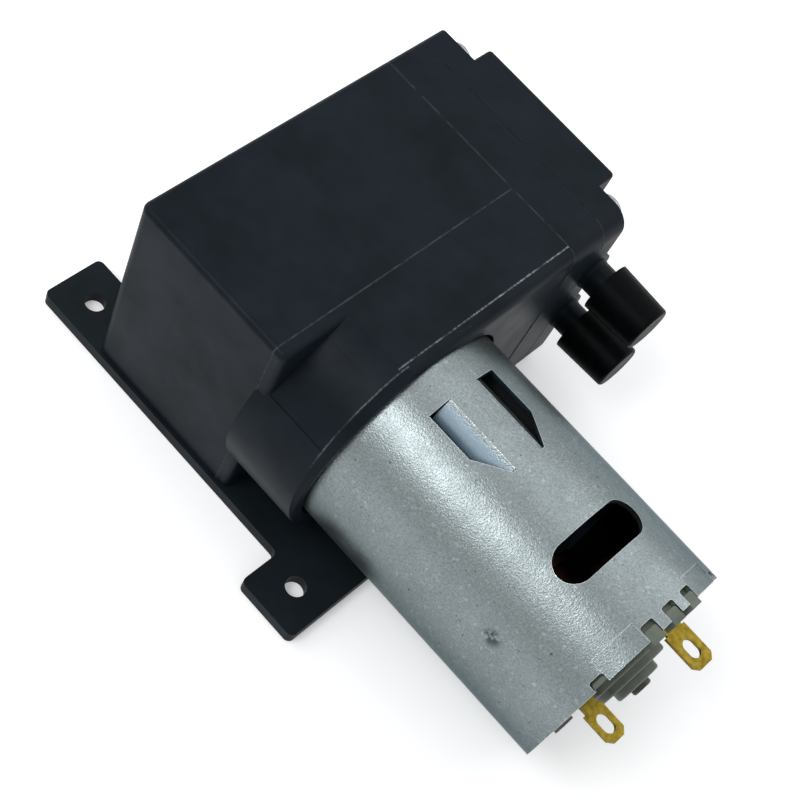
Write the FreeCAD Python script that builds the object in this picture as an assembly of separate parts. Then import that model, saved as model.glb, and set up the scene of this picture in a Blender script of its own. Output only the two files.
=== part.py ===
import FreeCAD, Part
import math
import os

V = FreeCAD.Vector

# All lengths are millimetres. X runs along the motor to its terminals, Y to the pump
# head and Z up. The origin is on the underside of the foot plate, midway between its
# two rows of holes and straight below the motor axis.

# Motor can, the size that the rest is built around
can_r = 17.9
can_wall = 1.0
can_l = 50.1
can_shoulder_r = 1.6
can_clearance = 0.55
can_plate_gap = 0.2

# Foot plate
plate_t = 2.2
plate_half_y = 18.9
plate_corner_r = 1.0
foot_hole_d = 3.3
foot_hole_x = 26.75
rear_pitch = 27.1
front_pitch = 40.5
ear_edge = 5.65
ear_inner_y = 8.0
bar_edge = 5.45
bar_w = 11.0
bar_half_y = 26.2
plate_x0 = -foot_hole_x - ear_edge
bar_x1 = foot_hole_x + bar_edge
bar_x0 = bar_x1 - bar_w

# Pump body, split across the motor axis into the crankcase and the motor bracket
case_x0 = -20.4
case_l = 27.0
bracket_l = 13.9
case_y0 = -18.3
joint_y = 29.2
case_over = 1.75
case_roof_t = 3.15
case_floor_t = 1.6
case_wall = 2.2
case_edge_r = 1.0
case_corner_r = 1.5
seat_wall = 2.8
strip_w = 2.1
collar_wall = 2.05
barrel_wall = 2.3
bracket_edge_r = 1.9
collar_depth = 4.1
motor_wall = 2.4
boss_clearance = 0.3
seam_groove_w = 0.3
collar_bevel_x = 1.6
collar_bevel_r = 1.3
collar_bevel_angle = 118.0
collar_flat_depth = 0.12
collar_flat_angle = 135.0
collar_flat_half_angle = 16.0
axis_z = plate_t + can_plate_gap + can_r
seam_x = case_x0 + case_l
bracket_x1 = seam_x + bracket_l
case_top_z = axis_z + can_r + case_over
chamber_z0 = plate_t + case_floor_t
chamber_z1 = case_top_z - case_roof_t
barrel_r = can_r + can_clearance + collar_wall
motor_face_x = bracket_x1 - collar_depth
can_x1 = motor_face_x + can_l

# Screws: shank and head radius, head height and the drive recess
screw_r = 1.25
screw_head_r = 2.5
screw_head_h = 1.7
screw_dome_r = 1.0
screw_clearance = 0.06
screw_tip_h = 0.8
recess_w = 0.6
recess_l = 2.8
recess_depth = 0.9
boss_wall = 1.2
case_screw_l = 29.0
# Across the pump, up from the foot plate and down from the top of the case
case_screw_rear = (-12.2, 5.9, 7.45)
case_screw_front = (12.5, 3.5, 5.05)
case_screw_sink = 1.8
plate_screw_l = 6.4
plate_screw_case = (-13.5, 7.0)
plate_screw_bracket = (11.0, 6.5)
plate_screw_gap = 0.15
plate_boss_h = 3.2
head_screw_l = 24.0
head_screw_dx = 16.4
head_screw_up = 1.6
head_screw_down = 3.15
motor_screw_r = 1.5
motor_screw_l = 5.2
motor_screw_inset = 5.4
motor_screw_head_r = 2.75
motor_screw_head_h = 1.8
motor_screw_circle_r = can_r - motor_screw_inset

# Head: valve body, cover and its two hose ports
head_drop = 1.9
head_over_x = 0.1
head_corner_r = 1.0
head_port_corner_r = 3.6
valve_body_t = 7.3
flange_t = 4.8
raised_h = 4.1
raised_half_x = 13.6
raised_edge_r = 0.7
bore_r = 12.5
rim_r = 14.8
rim_gap = 0.1
rubber_t = 1.2
valve_plate_t = 2.1
crown_r = 9.2
throat_r = 12.4
valve_dz = 5.2
valve_disc_r = 3.1
valve_disc_t = 0.5
valve_lip_t = 0.3
valve_crown_r = 1.6
valve_crown_h = 0.2
valve_stem_r = 0.8
valve_knob_r = 1.15
valve_knob_edge = 0.15
valve_knob_h = 0.4
valve_pocket_r = 3.5
valve_pocket_depth = 0.95
valve_port_r = 0.55
valve_port_circle_r = 1.9
valve_port_count = 6
gasket_t = 0.6
gasket_half_x = 10.0
gasket_half_z = 12.6
plenum_half_x = 7.0
plenum_half_z = 10.0
plenum_rib = 1.1
plenum_roof_t = 2.2
port_dz = 5.8
port_boss_r = 3.75
port_boss_gap = 0.15
port_neck_r = 2.75
port_flare_over = 0.2
port_flare_l = 0.7
port_bore_r = 1.6
port_l = 10.4
barb_over = 0.3
barb_l = 3.4
cap_gap = 3.0
cap_wall = 1.17
cap_taper = 0.35
cap_end_t = 1.5
cap_end_air = 0.5
cap_fit = 0.08
cap_edge_r = 0.5
head_x0 = case_x0
head_x1 = bracket_x1 + head_over_x
head_mid_x = (head_x0 + head_x1) / 2
head_z0 = plate_t - head_drop
layer_y = joint_y + valve_body_t
flange_y = layer_y + flange_t
raised_y = flange_y + raised_h
crown_y = layer_y - valve_plate_t
plenum_y = raised_y - plenum_roof_t
port_y = layer_y + port_boss_r + port_boss_gap
port_x1 = head_x1 + port_l
port_flare_r = port_neck_r + port_flare_over
barb_r = port_neck_r + barb_over
barb_x0 = port_x1 - barb_l
cap_x0 = head_x1 + cap_gap
cap_x1 = port_x1 + cap_end_air + cap_end_t
cap_mouth_r = barb_r + cap_fit + cap_wall
cap_end_r = cap_mouth_r - cap_taper

# Crank and diaphragm drive
throw = 2.0
rod_w = 5.0
bearing_bore_r = 5.0
bearing_outer_r = 9.5
bearing_fit = 0.05
bearing_skin = 0.02
race_t = 1.35
ball_r = 1.2
ball_count = 11
rod_ring_wall = 2.3
stem_w = 7.0
rod_disc_r = 6.4
rod_disc_t = 2.0
clamp_r = 6.0
clamp_t = 1.2
clamp_edge_r = 0.4
fold_r = 11.0
clamp_screw_r = 1.5
clamp_screw_l = 9.0
clamp_screw_head_r = 2.9
clamp_screw_head_h = 1.0
hub_r = 6.0
hub_gap = 1.8
weight_r = 12.0
weight_t = 3.0
weight_half_angle = 62.0
shoulder_gap = 0.3
set_screw_r = 1.5
set_screw_l = 3.9
set_screw_hex = 1.5
rod_x = head_mid_x
rod_ring_r = bearing_outer_r + rod_ring_wall

# Motor: boss, louvres, vent, rim, magnets and bushings
boss_r = 6.5
boss_l = 3.4
crimp_l = 3.35
crimp_depth = 0.15
crimp_half_angle = 11.5
crimp_angles = (118.5, 61.5, 241.5, 298.5)
louvre_inset = 9.0
louvre_l = 12.9
louvre_step_l = 7.9
louvre_mid_y = 0.3
louvre_hinge_y = 2.6
louvre_neck_y = 3.3
louvre_free_y = 6.4
louvre_bend = 34.0
louvre_cut = 0.15
louvre_root = 0.25
slot_inset = 14.1
slot_half_w = 2.95
slot_mid_angle = 89.5
slot_half_angle = 17.0
notch_l = 2.2
notch_w = 2.4
notch_corner_r = 0.4
notch_angles = (76.0, 89.2, 102.5, 255.0, 285.0)
low_notch_l = 1.4
low_notch_angles = (46.2, 133.8, 226.2, 313.8)
magnet_t = 3.88
magnet_inset = 7.1
magnet_rear = 19.5
magnet_half_angle = 60.0
magnet_edge_r = 0.6
clip_half_angle = 26.0
clip_end_half_angle = 1.5
clip_t = 0.7
clip_inset = 3.25
bearing_r = 4.4
bearing_l = 4.0
bearing_edge = 0.4
bearing_lip = 0.6
boss_x0 = motor_face_x - boss_l
hub_x1 = boss_x0 - hub_gap
front_bearing_x0 = boss_x0 + bearing_lip
magnet_outer_r = can_r - can_wall - bearing_skin
magnet_inner_r = magnet_outer_r - magnet_t
magnet_x0 = motor_face_x + magnet_inset
magnet_x1 = can_x1 - magnet_rear
clip_x0 = magnet_x0 + clip_inset
clip_x1 = magnet_x1 - clip_inset
louvre_x0 = motor_face_x + louvre_inset
louvre_x1 = louvre_x0 + louvre_l
louvre_step_x = louvre_x0 + louvre_step_l
slot_x = can_x1 - slot_inset
crimp_x0 = can_x1 - crimp_l
notch_x0 = can_x1 - notch_l
low_notch_x0 = can_x1 - low_notch_l

# Rotor
shaft_r = 1.585
shaft_over = 0.75
shaft_out = 0.8
shaft_fit = 0.04
shaft_edge = 0.2
air_gap = 0.7
core_inset = 4.0
core_rear_inset = 3.5
core_hub_gap = 0.8
pole_w = 4.8
pole_face_t = 1.9
pole_root_t = 1.0
pole_half_angle = 49.0
pole_root_half_angle = 16.0
pole_count = 3
coil_x_over = 3.0
coil_inset = 2.1
coil_h = 4.8
coil_half_w0 = 4.4
coil_half_w1 = 7.2
coil_gap = 0.05
coil_edge_r = 1.0
comm_gap = 3.1
comm_l = 8.2
comm_r = 4.1
comm_bar_t = 1.08
comm_slot_w = 0.5
riser_r = 5.6
riser_t = 0.9
washer_r = 3.2
washer_t = 0.6
core_r = magnet_inner_r - air_gap
core_x0 = magnet_x0 + core_inset
core_x1 = magnet_x1 - core_rear_inset
coil_r1 = core_r - coil_inset
coil_r0 = coil_r1 - coil_h
core_hub_r = coil_r0 - core_hub_gap
comm_x0 = core_x1 + coil_x_over + comm_gap
comm_x1 = comm_x0 + comm_l
comm_hub_r = comm_r - comm_bar_t - bearing_skin

# End bell, brushes and terminals
bell_depth = 3.9
bell_inset = 0.3
bell_gap = 0.1
bell_tab_gap = 0.9
bell_low_tab_gap = 0.4
bell_tab_out = 0.8
bell_tab_rise = 0.75
bell_tab_depth = 2.6
bell_base_r = 7.4
bell_base_t = 1.2
bell_hub_r = 6.0
bell_hub_t = 1.2
bell_boss_r = 3.7
bell_boss_t = 1.3
bell_edge_r = 0.4
bell_wall = 1.0
bell_post_r = 1.6
bell_post_inset = 5.3
bell_post_sink = 1.0
card_gap = 0.8
card_t = 1.4
card_inset = 1.3
card_bore_r = 6.4
brush_h = 3.0
brush_w = 3.4
brush_l = 4.2
brush_gap = 0.06
holder_t = 0.5
holder_l = 5.6
holder_gap = 1.2
terminal_y = 9.2
terminal_dz = 1.6
terminal_t = 0.6
terminal_shoulder_out = 1.4
terminal_root_cut = 0.5
terminal_chamfer = 0.9
terminal_hole_l = 3.1
terminal_hole_w = 2.0
# Side of the axis, width, reach past the shoulder and distance of the eye from the tip
terminal_blades = (
    (-1, 3.6, 5.3, 2.7),
    (1, 4.2, 6.4, 3.0),
)
bell_x0 = can_x1 - bell_depth
bell_x1 = can_x1 - bell_inset
bell_tab_x1 = can_x1 + bell_tab_out
bell_tab_r = can_r - can_wall + bell_tab_rise
bell_base_x1 = bell_x1 + bell_base_t
bell_hub_x1 = bell_base_x1 + bell_hub_t
bell_boss_x1 = bell_hub_x1 + bell_boss_t
bell_post_circle_r = can_r - bell_post_inset
rear_bearing_x0 = bell_hub_x1 - bell_wall - bearing_l
card_x0 = comm_x1 + card_gap
card_r = can_r - can_wall - card_inset
brush_mid_x = card_x0 - holder_t - bell_gap - brush_w / 2
terminal_shoulder_x = can_x1 + terminal_shoulder_out
shaft_x0 = rod_x - rod_w / 2 - shaft_over
shaft_x1 = bell_boss_x1 + shaft_out

# Extra length that lets a cutting tool pass clean through
through = 2.0


def box(x0, x1, y0, y1, z0, z1):
    return Part.makeBox(x1 - x0, y1 - y0, z1 - z0, V(x0, y0, z0))


def rod_along_x(x0, x1, r, y=0.0, z=axis_z):
    return Part.makeCylinder(r, x1 - x0, V(x0, y, z), V(1, 0, 0))


def rod_along_y(y0, y1, r, x, z):
    return Part.makeCylinder(r, y1 - y0, V(x, y0, z), V(0, 1, 0))


def rod_along_z(z0, z1, r, x, y):
    return Part.makeCylinder(r, z1 - z0, V(x, y, z0), V(0, 0, 1))


def cone_along_y(y0, y1, r0, r1, x, z):
    return Part.makeCone(r0, r1, y1 - y0, V(x, y0, z), V(0, 1, 0))


def cone_along_x(x0, x1, r0, r1, y, z):
    return Part.makeCone(r0, r1, x1 - x0, V(x0, y, z), V(1, 0, 0))


def turned_about_x(profile, y=0.0, z=axis_z):
    # Profile points are (x, radius) and go round once
    points = [V(x, y, z + r) for x, r in profile]
    face = Part.Face(Part.makePolygon(points + points[:1]))
    return face.revolve(V(0, y, z), V(1, 0, 0), 360)


def turned_about_y(profile, x, z):
    # Profile points are (y, radius) and go round once
    points = [V(x, y, z + r) for y, r in profile]
    face = Part.Face(Part.makePolygon(points + points[:1]))
    return face.revolve(V(x, 0, z), V(0, 1, 0), 360)


def polar(r, angle):
    # Point on a circle round the motor axis, the angle counted from +Y towards +Z
    a = math.radians(angle)
    return (r * math.cos(a), axis_z + r * math.sin(a))


def sector(x0, x1, r, mid_angle, half_angle):
    # Pie piece round the motor axis
    disc = Part.makeCylinder(r, x1 - x0, V(x0, 0, axis_z), V(1, 0, 0), 2 * half_angle)
    # A cylinder along X opens from +Y or -Z, so it is turned until its middle is in place
    bounds = disc.CenterOfMass
    found = math.degrees(math.atan2(bounds.z - axis_z, bounds.y))
    disc.rotate(V(0, 0, axis_z), V(1, 0, 0), mid_angle - found)
    return disc


def arc_shell(x0, x1, r0, r1, mid_angle, half_angle):
    ring = rod_along_x(x0, x1, r1).cut(rod_along_x(x0 - through, x1 + through, r0))
    return ring.common(sector(x0, x1, r1 + through, mid_angle, half_angle))


def around_axis(shape, count, start=0.0):
    pieces = []
    for i in range(count):
        piece = shape.copy()
        piece.rotate(V(0, 0, axis_z), V(1, 0, 0), start + i * 360.0 / count)
        pieces.append(piece)
    return pieces


def soften(shape, r, wanted):
    # Rounds the straight edges whose middle point passes the test
    edges = [e for e in shape.Edges if wanted(e.CenterOfMass, e.Length)]
    return shape.makeFillet(r, edges)


def near(a, b):
    return abs(a - b) < 0.01


def cross_recess(depth):
    # Drive recess in a head whose top is at height zero
    bar = box(-recess_l / 2, recess_l / 2, -recess_w / 2, recess_w / 2, -depth, through)
    other = box(-recess_w / 2, recess_w / 2, -recess_l / 2, recess_l / 2, -depth, through)
    return bar.fuse(other)


def pan_screw(r, length, head_r, head_h):
    # Head above height zero, shank below it
    dome = Part.makeCylinder(head_r, head_h)
    dome = dome.makeFillet(screw_dome_r, [e for e in dome.Edges if near(e.CenterOfMass.z, head_h)])
    shank = Part.makeCylinder(r, length - screw_tip_h, V(0, 0, -length + screw_tip_h))
    tip = Part.makeCone(r / 2, r, screw_tip_h, V(0, 0, -length))
    recess = cross_recess(recess_depth)
    recess.translate(V(0, 0, head_h))
    return dome.fuse([shank, tip]).cut(recess).removeSplitter()


def flat_screw(r, length, head_r, head_h):
    # Countersunk, its flat top at height zero
    head = Part.makeCone(r, head_r, head_h, V(0, 0, -head_h))
    shank = Part.makeCylinder(r, length - screw_tip_h, V(0, 0, -length + screw_tip_h))
    tip = Part.makeCone(r / 2, r, screw_tip_h, V(0, 0, -length))
    return head.fuse([shank, tip]).cut(cross_recess(recess_depth)).removeSplitter()


def placed(shape, at, direction):
    # Turns a piece built along +Z to point along the direction and moves it
    piece = shape.copy()
    turn = FreeCAD.Rotation(V(0, 0, 1), V(*direction))
    piece.Placement = FreeCAD.Placement(V(*at), turn)
    return piece


def together(pieces):
    return Part.makeCompound(pieces)


def case_screw_spots():
    spots = []
    for y, up, down in (case_screw_rear, case_screw_front):
        spots.append((y, plate_t + up))
        spots.append((y, case_top_z - down))
    return spots


def head_screw_spots():
    return [
        (head_mid_x + side * head_screw_dx, z)
        for side in (-1, 1)
        for z in (plate_t + head_screw_up, case_top_z - head_screw_down)
    ]


def motor_screw_spots():
    return [polar(motor_screw_circle_r, 90.0), polar(motor_screw_circle_r, 270.0)]


def plate_screw_spots():
    return [
        (spot_x, side * spot_y)
        for spot_x, spot_y in (plate_screw_case, plate_screw_bracket)
        for side in (-1, 1)
    ]


def foot_plate():
    plate = box(plate_x0, bar_x1, -plate_half_y, plate_half_y, 0, plate_t)
    plate = plate.fuse(box(bar_x0, bar_x1, -bar_half_y, bar_half_y, 0, plate_t))
    plate = plate.cut(box(plate_x0, case_x0, -ear_inner_y, ear_inner_y, -through, plate_t + through))
    plate = plate.removeSplitter()
    outer = (plate_x0, bar_x1, bar_x0)
    plate = soften(
        plate,
        plate_corner_r,
        lambda c, length: near(length, plate_t) and any(near(c.x, x) for x in outer),
    )
    for x, pitch in ((-foot_hole_x, rear_pitch), (foot_hole_x, front_pitch)):
        for side in (-1, 1):
            y = side * pitch / 2
            plate = plate.cut(rod_along_z(-through, plate_t + through, foot_hole_d / 2, x, y))
    for x, y in plate_screw_spots():
        head = Part.makeCone(
            screw_head_r + screw_clearance,
            screw_r + screw_clearance,
            screw_head_h,
            V(x, y, plate_screw_gap),
        )
        mouth = rod_along_z(-through, plate_screw_gap, screw_head_r + screw_clearance, x, y)
        hole = rod_along_z(0, plate_t + through, screw_r + screw_clearance, x, y)
        plate = plate.cut(head.fuse([mouth, hole]))
    return plate


def plate_screws():
    screw = flat_screw(screw_r, plate_screw_l, screw_head_r, screw_head_h)
    return together(
        [placed(screw, (x, y, plate_screw_gap), (0, 0, -1)) for x, y in plate_screw_spots()]
    )


def screw_bosses(x0, x1, shell):
    # Inner pillars for the case, head and plate screws, kept inside the given outer shell
    pieces = []
    for y, z in case_screw_spots():
        pieces.append(rod_along_x(x0, x1, screw_r + boss_wall, y, z))
    for x, z in head_screw_spots():
        if x0 < x < x1:
            low = joint_y - head_screw_l + (flange_y - joint_y) - boss_wall
            pieces.append(rod_along_y(low, joint_y, screw_r + boss_wall, x, z))
    for x, y in plate_screw_spots():
        if x0 < x < x1:
            top = plate_t + case_wall + plate_boss_h
            pieces.append(rod_along_z(plate_t, top, screw_r + boss_wall, x, y))
    return [p.common(shell) for p in pieces]


def screw_holes(x0, x1):
    hole_r = screw_r + screw_clearance
    tools = []
    for x, z in head_screw_spots():
        if x0 < x < x1:
            low = flange_y - head_screw_l - screw_clearance
            tools.append(rod_along_y(low, joint_y + through, hole_r, x, z))
    for x, y in plate_screw_spots():
        if x0 < x < x1:
            top = plate_screw_gap + plate_screw_l + screw_clearance
            tools.append(rod_along_z(0, top, hole_r, x, y))
    return tools


def diaphragm_bore():
    return rod_along_y(joint_y - seat_wall - through, joint_y + through, bore_r, head_mid_x, axis_z)


def seam_grooves():
    # Fine V grooves along the outer seams, half in each of the two pieces that meet
    side = seam_groove_w / math.sqrt(2)
    runs = [
        ((seam_x, case_y0, plate_t), (seam_x, case_y0, case_top_z)),
        ((seam_x, case_y0, case_top_z), (seam_x, joint_y, case_top_z)),
    ]
    for y in (joint_y, layer_y):
        runs.append(((head_x0, y, case_top_z), (head_x1, y, case_top_z)))
        runs.append(((head_x0, y, head_z0), (head_x0, y, case_top_z)))
        runs.append(((head_x1, y, head_z0), (head_x1, y, case_top_z)))
    bars = []
    for start, end in runs:
        run = V(*end) - V(*start)
        bar = Part.makeBox(side, side, run.Length, V(-side / 2, -side / 2, 0))
        bar.rotate(V(0, 0, 0), V(0, 0, 1), 45.0)
        bars.append(placed(bar, start, tuple(run)))
    return together(bars)


def crankcase():
    outer = box(case_x0, seam_x, case_y0, joint_y, plate_t, case_top_z)
    outer = soften(
        outer,
        case_corner_r,
        lambda c, length: near(c.x, case_x0) and near(c.y, case_y0),
    )
    outer = soften(
        outer,
        case_edge_r,
        lambda c, length: near(c.z, case_top_z)
        and c.x < seam_x - case_edge_r
        and c.y < joint_y - case_edge_r,
    )
    cavity = box(
        case_x0 + case_wall,
        seam_x + through,
        case_y0 + case_wall,
        joint_y - seat_wall,
        chamber_z0,
        chamber_z1,
    )
    shape = outer.cut(cavity)
    shape = shape.fuse(screw_bosses(case_x0, seam_x, outer))
    shape = shape.cut(diaphragm_bore())
    sink_x = case_x0 + case_screw_sink
    for y, z in case_screw_spots():
        head = rod_along_x(case_x0 - through, sink_x, screw_head_r + screw_clearance, y, z)
        hole = rod_along_x(case_x0, seam_x + through, screw_r + screw_clearance, y, z)
        shape = shape.cut(head.fuse(hole))
    shape = shape.cut(together(screw_holes(case_x0, seam_x))).removeSplitter()
    return shape.cut(seam_grooves())


def case_screws():
    screw = pan_screw(screw_r, case_screw_l, screw_head_r, screw_head_h)
    sink_x = case_x0 + case_screw_sink
    return together([placed(screw, (sink_x, y, z), (-1, 0, 0)) for y, z in case_screw_spots()])


def motor_bracket():
    block = box(seam_x, bracket_x1, 0, joint_y, plate_t, case_top_z)
    block = soften(
        block,
        bracket_edge_r,
        lambda c, length: near(c.x, bracket_x1) and near(c.z, case_top_z),
    )
    strip_x1 = seam_x + strip_w
    strip = box(seam_x, strip_x1, case_y0, joint_y, plate_t, case_top_z)
    strip = soften(
        strip,
        case_edge_r,
        lambda c, length: (near(c.y, case_y0) or near(c.x, strip_x1))
        and (near(c.z, case_top_z) or near(length, case_top_z - plate_t))
        and c.y < joint_y - case_edge_r
        and c.x > seam_x + case_edge_r / 2,
    )
    slab = box(seam_x, bracket_x1, -barrel_r - through, 0, plate_t, case_top_z)
    slab = soften(
        slab,
        bracket_edge_r,
        lambda c, length: near(c.x, bracket_x1) and near(c.z, case_top_z),
    )
    barrel = rod_along_x(seam_x, bracket_x1, barrel_r)
    # The bevel of the collar's mouth is widest at one angle and fades out to both sides
    y_off, z_off = polar(-collar_bevel_r, collar_bevel_angle)
    bevel_x0 = bracket_x1 - collar_bevel_x
    bevel = cone_along_x(bevel_x0, bracket_x1, barrel_r + collar_bevel_r, barrel_r, y_off, z_off)
    barrel = barrel.common(bevel.fuse(rod_along_x(seam_x, bevel_x0, barrel_r + collar_bevel_r)))
    flat = arc_shell(
        strip_x1,
        bracket_x1,
        barrel_r - collar_flat_depth,
        barrel_r + through,
        collar_flat_angle,
        collar_flat_half_angle,
    )
    barrel = barrel.cut(flat).common(slab)
    outer = block.fuse([strip, barrel]).removeSplitter()
    wall_x0 = motor_face_x - motor_wall
    hollow_r = barrel_r - barrel_wall
    round_part = rod_along_x(seam_x - through, wall_x0, hollow_r)
    long_part = box(
        seam_x - through,
        wall_x0,
        0,
        joint_y - seat_wall,
        chamber_z0,
        chamber_z1,
    )
    level = box(
        seam_x - through,
        wall_x0,
        case_y0 + case_wall,
        joint_y,
        chamber_z0,
        chamber_z1,
    )
    shape = outer.cut(round_part.common(level).fuse(long_part))
    shape = shape.fuse(screw_bosses(seam_x, bracket_x1, outer))
    shape = shape.cut(diaphragm_bore())
    shape = shape.cut(rod_along_x(motor_face_x, bracket_x1 + through, can_r + can_clearance))
    shape = shape.cut(rod_along_x(wall_x0 - through, bracket_x1, boss_r + boss_clearance))
    for y, z in motor_screw_spots():
        hole_r = motor_screw_r + screw_clearance
        shape = shape.cut(rod_along_x(wall_x0 - through, bracket_x1, hole_r, y, z))
    end_x = case_x0 + case_screw_sink + case_screw_l + screw_clearance
    for y, z in case_screw_spots():
        shape = shape.cut(rod_along_x(seam_x - through, end_x, screw_r + screw_clearance, y, z))
    shape = shape.cut(together(screw_holes(seam_x, bracket_x1))).removeSplitter()
    return shape.cut(seam_grooves())


def motor_screws():
    screw = pan_screw(motor_screw_r, motor_screw_l, motor_screw_head_r, motor_screw_head_h)
    face_x = motor_face_x - motor_wall
    return together([placed(screw, (face_x, y, z), (-1, 0, 0)) for y, z in motor_screw_spots()])


def head_outline(y0, y1):
    # The two corners on the side of the ports have the larger radius
    block = box(head_x0, head_x1, y0, y1, head_z0, case_top_z)
    for x, r in ((head_x0, head_corner_r), (head_x1, head_port_corner_r)):
        block = soften(block, r, lambda c, length: near(length, y1 - y0) and near(c.x, x))
    return block


def head_screw_holes(y0, y1):
    hole_r = screw_r + screw_clearance
    return together([rod_along_y(y0, y1, hole_r, x, z) for x, z in head_screw_spots()])


def valve_body():
    body = head_outline(joint_y, layer_y)
    rim = rod_along_y(
        joint_y - through, joint_y + rubber_t + rim_gap, rim_r + rim_gap, head_mid_x, axis_z
    )
    dome_y0 = joint_y + rubber_t
    dome = cone_along_y(dome_y0, crown_y, throat_r, crown_r, head_mid_x, axis_z)
    body = body.cut(rim).cut(dome)
    inlet_z = axis_z - valve_dz
    outlet_z = axis_z + valve_dz
    inlet_pocket = rod_along_y(
        crown_y - through, crown_y + valve_pocket_depth, valve_pocket_r, head_mid_x, inlet_z
    )
    outlet_pocket = rod_along_y(
        layer_y - valve_pocket_depth, layer_y + through, valve_pocket_r, head_mid_x, outlet_z
    )
    body = body.cut(inlet_pocket).cut(outlet_pocket)
    for z in (inlet_z, outlet_z):
        holes = [rod_along_y(dome_y0, layer_y + through, valve_stem_r + screw_clearance, head_mid_x, z)]
        for i in range(valve_port_count):
            a = 2 * math.pi * i / valve_port_count
            x = head_mid_x + valve_port_circle_r * math.cos(a)
            hole_z = z + valve_port_circle_r * math.sin(a)
            holes.append(rod_along_y(dome_y0, layer_y + through, valve_port_r, x, hole_z))
        body = body.cut(together(holes))
    body = body.cut(head_screw_holes(joint_y - through, layer_y + through)).removeSplitter()
    return body.cut(seam_grooves())


def umbrella_valve(seat_y, knob_side, z):
    # Rubber disc flat on its seat, with a stem through the plate and a knob behind it
    reach = layer_y - crown_y - valve_pocket_depth + screw_clearance
    profile = [
        (0, 0),
        (0, valve_disc_r),
        (-valve_lip_t, valve_disc_r),
        (-valve_disc_t, valve_crown_r),
        (-valve_disc_t - valve_crown_h, 0),
    ]
    disc = turned_about_y([(seat_y + knob_side * y, r) for y, r in profile], head_mid_x, z)
    y_a = seat_y
    y_b = seat_y + knob_side * reach
    stem = rod_along_y(min(y_a, y_b), max(y_a, y_b), valve_stem_r, head_mid_x, z)
    knob_profile = [
        (reach, 0),
        (reach, valve_knob_r),
        (reach + valve_knob_edge, valve_knob_r),
        (reach + valve_knob_h, 0),
    ]
    knob = turned_about_y([(seat_y + knob_side * y, r) for y, r in knob_profile], head_mid_x, z)
    return disc.fuse([stem, knob]).removeSplitter()


def inlet_valve():
    return umbrella_valve(crown_y + valve_pocket_depth, 1, axis_z - valve_dz)


def outlet_valve():
    return umbrella_valve(layer_y - valve_pocket_depth, -1, axis_z + valve_dz)


def plenum_windows(y0, y1, grow):
    # The two air rooms, one for each valve
    rooms = []
    for side in (-1, 1):
        z_a = axis_z + side * (plenum_rib - grow)
        z_b = axis_z + side * (plenum_half_z + grow)
        rooms.append(
            box(
                head_mid_x - plenum_half_x - grow,
                head_mid_x + plenum_half_x + grow,
                y0,
                y1,
                min(z_a, z_b),
                max(z_a, z_b),
            )
        )
    return rooms


def gasket_block(grow):
    return box(
        head_mid_x - gasket_half_x - grow,
        head_mid_x + gasket_half_x + grow,
        layer_y,
        layer_y + gasket_t,
        axis_z - gasket_half_z - grow,
        axis_z + gasket_half_z + grow,
    )


def head_gasket():
    sheet = gasket_block(0)
    return sheet.cut(together(plenum_windows(layer_y - through, layer_y + through, 0)))


def head_cover():
    flange = head_outline(layer_y, flange_y)
    raised = box(
        -raised_half_x + head_mid_x,
        raised_half_x + head_mid_x,
        flange_y - raised_edge_r,
        raised_y,
        head_z0,
        case_top_z,
    )
    raised = soften(
        raised,
        raised_edge_r,
        lambda c, length: near(c.y, raised_y)
        or (length < raised_y and near(abs(c.x - head_mid_x), raised_half_x)),
    )
    cover = flange.fuse(raised)
    for side in (-1, 1):
        z = axis_z + side * port_dz
        boss = rod_along_x(head_mid_x, head_x1, port_boss_r, port_y, z)
        flare = cone_along_x(head_x1, head_x1 + port_flare_l, port_flare_r, port_neck_r, port_y, z)
        neck = rod_along_x(head_x1, port_x1, port_neck_r, port_y, z)
        barb = cone_along_x(barb_x0, port_x1, barb_r, port_neck_r, port_y, z)
        cover = cover.fuse([boss, flare, neck, barb])
    cover = cover.removeSplitter()
    cover = cover.cut(gasket_block(rim_gap))
    cover = cover.cut(together(plenum_windows(layer_y, plenum_y, 0)))
    for side in (-1, 1):
        z = axis_z + side * port_dz
        cover = cover.cut(rod_along_x(head_mid_x, port_x1 + through, port_bore_r, port_y, z))
    cover = cover.cut(head_screw_holes(layer_y - through, flange_y + through)).removeSplitter()
    return cover.cut(seam_grooves())


def head_screws():
    screw = pan_screw(screw_r, head_screw_l, screw_head_r, screw_head_h)
    return together([placed(screw, (x, flange_y, z), (0, 1, 0)) for x, z in head_screw_spots()])


def port_cap(side):
    z = axis_z + side * port_dz
    body = cone_along_x(cap_x0, cap_x1, cap_mouth_r, cap_end_r, port_y, z)
    body = body.makeFillet(cap_edge_r, [e for e in body.Edges if near(e.CenterOfMass.x, cap_x1)])
    hollow = rod_along_x(cap_x0 - through, cap_x1 - cap_end_t, barb_r + cap_fit, port_y, z)
    return body.cut(hollow)


def diaphragm():
    # Moulded disc at the retracted end of the stroke, clamped at its rim and centre
    low = joint_y - throw
    t = rubber_t
    profile = [
        (low, clamp_screw_r + screw_clearance),
        (low, rod_disc_r),
        (joint_y, fold_r),
        (joint_y, rim_r),
        (joint_y + t, rim_r),
        (joint_y + t, fold_r),
        (low + t, rod_disc_r),
        (low + t, clamp_screw_r + screw_clearance),
    ]
    return turned_about_y(profile, head_mid_x, axis_z)


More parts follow.
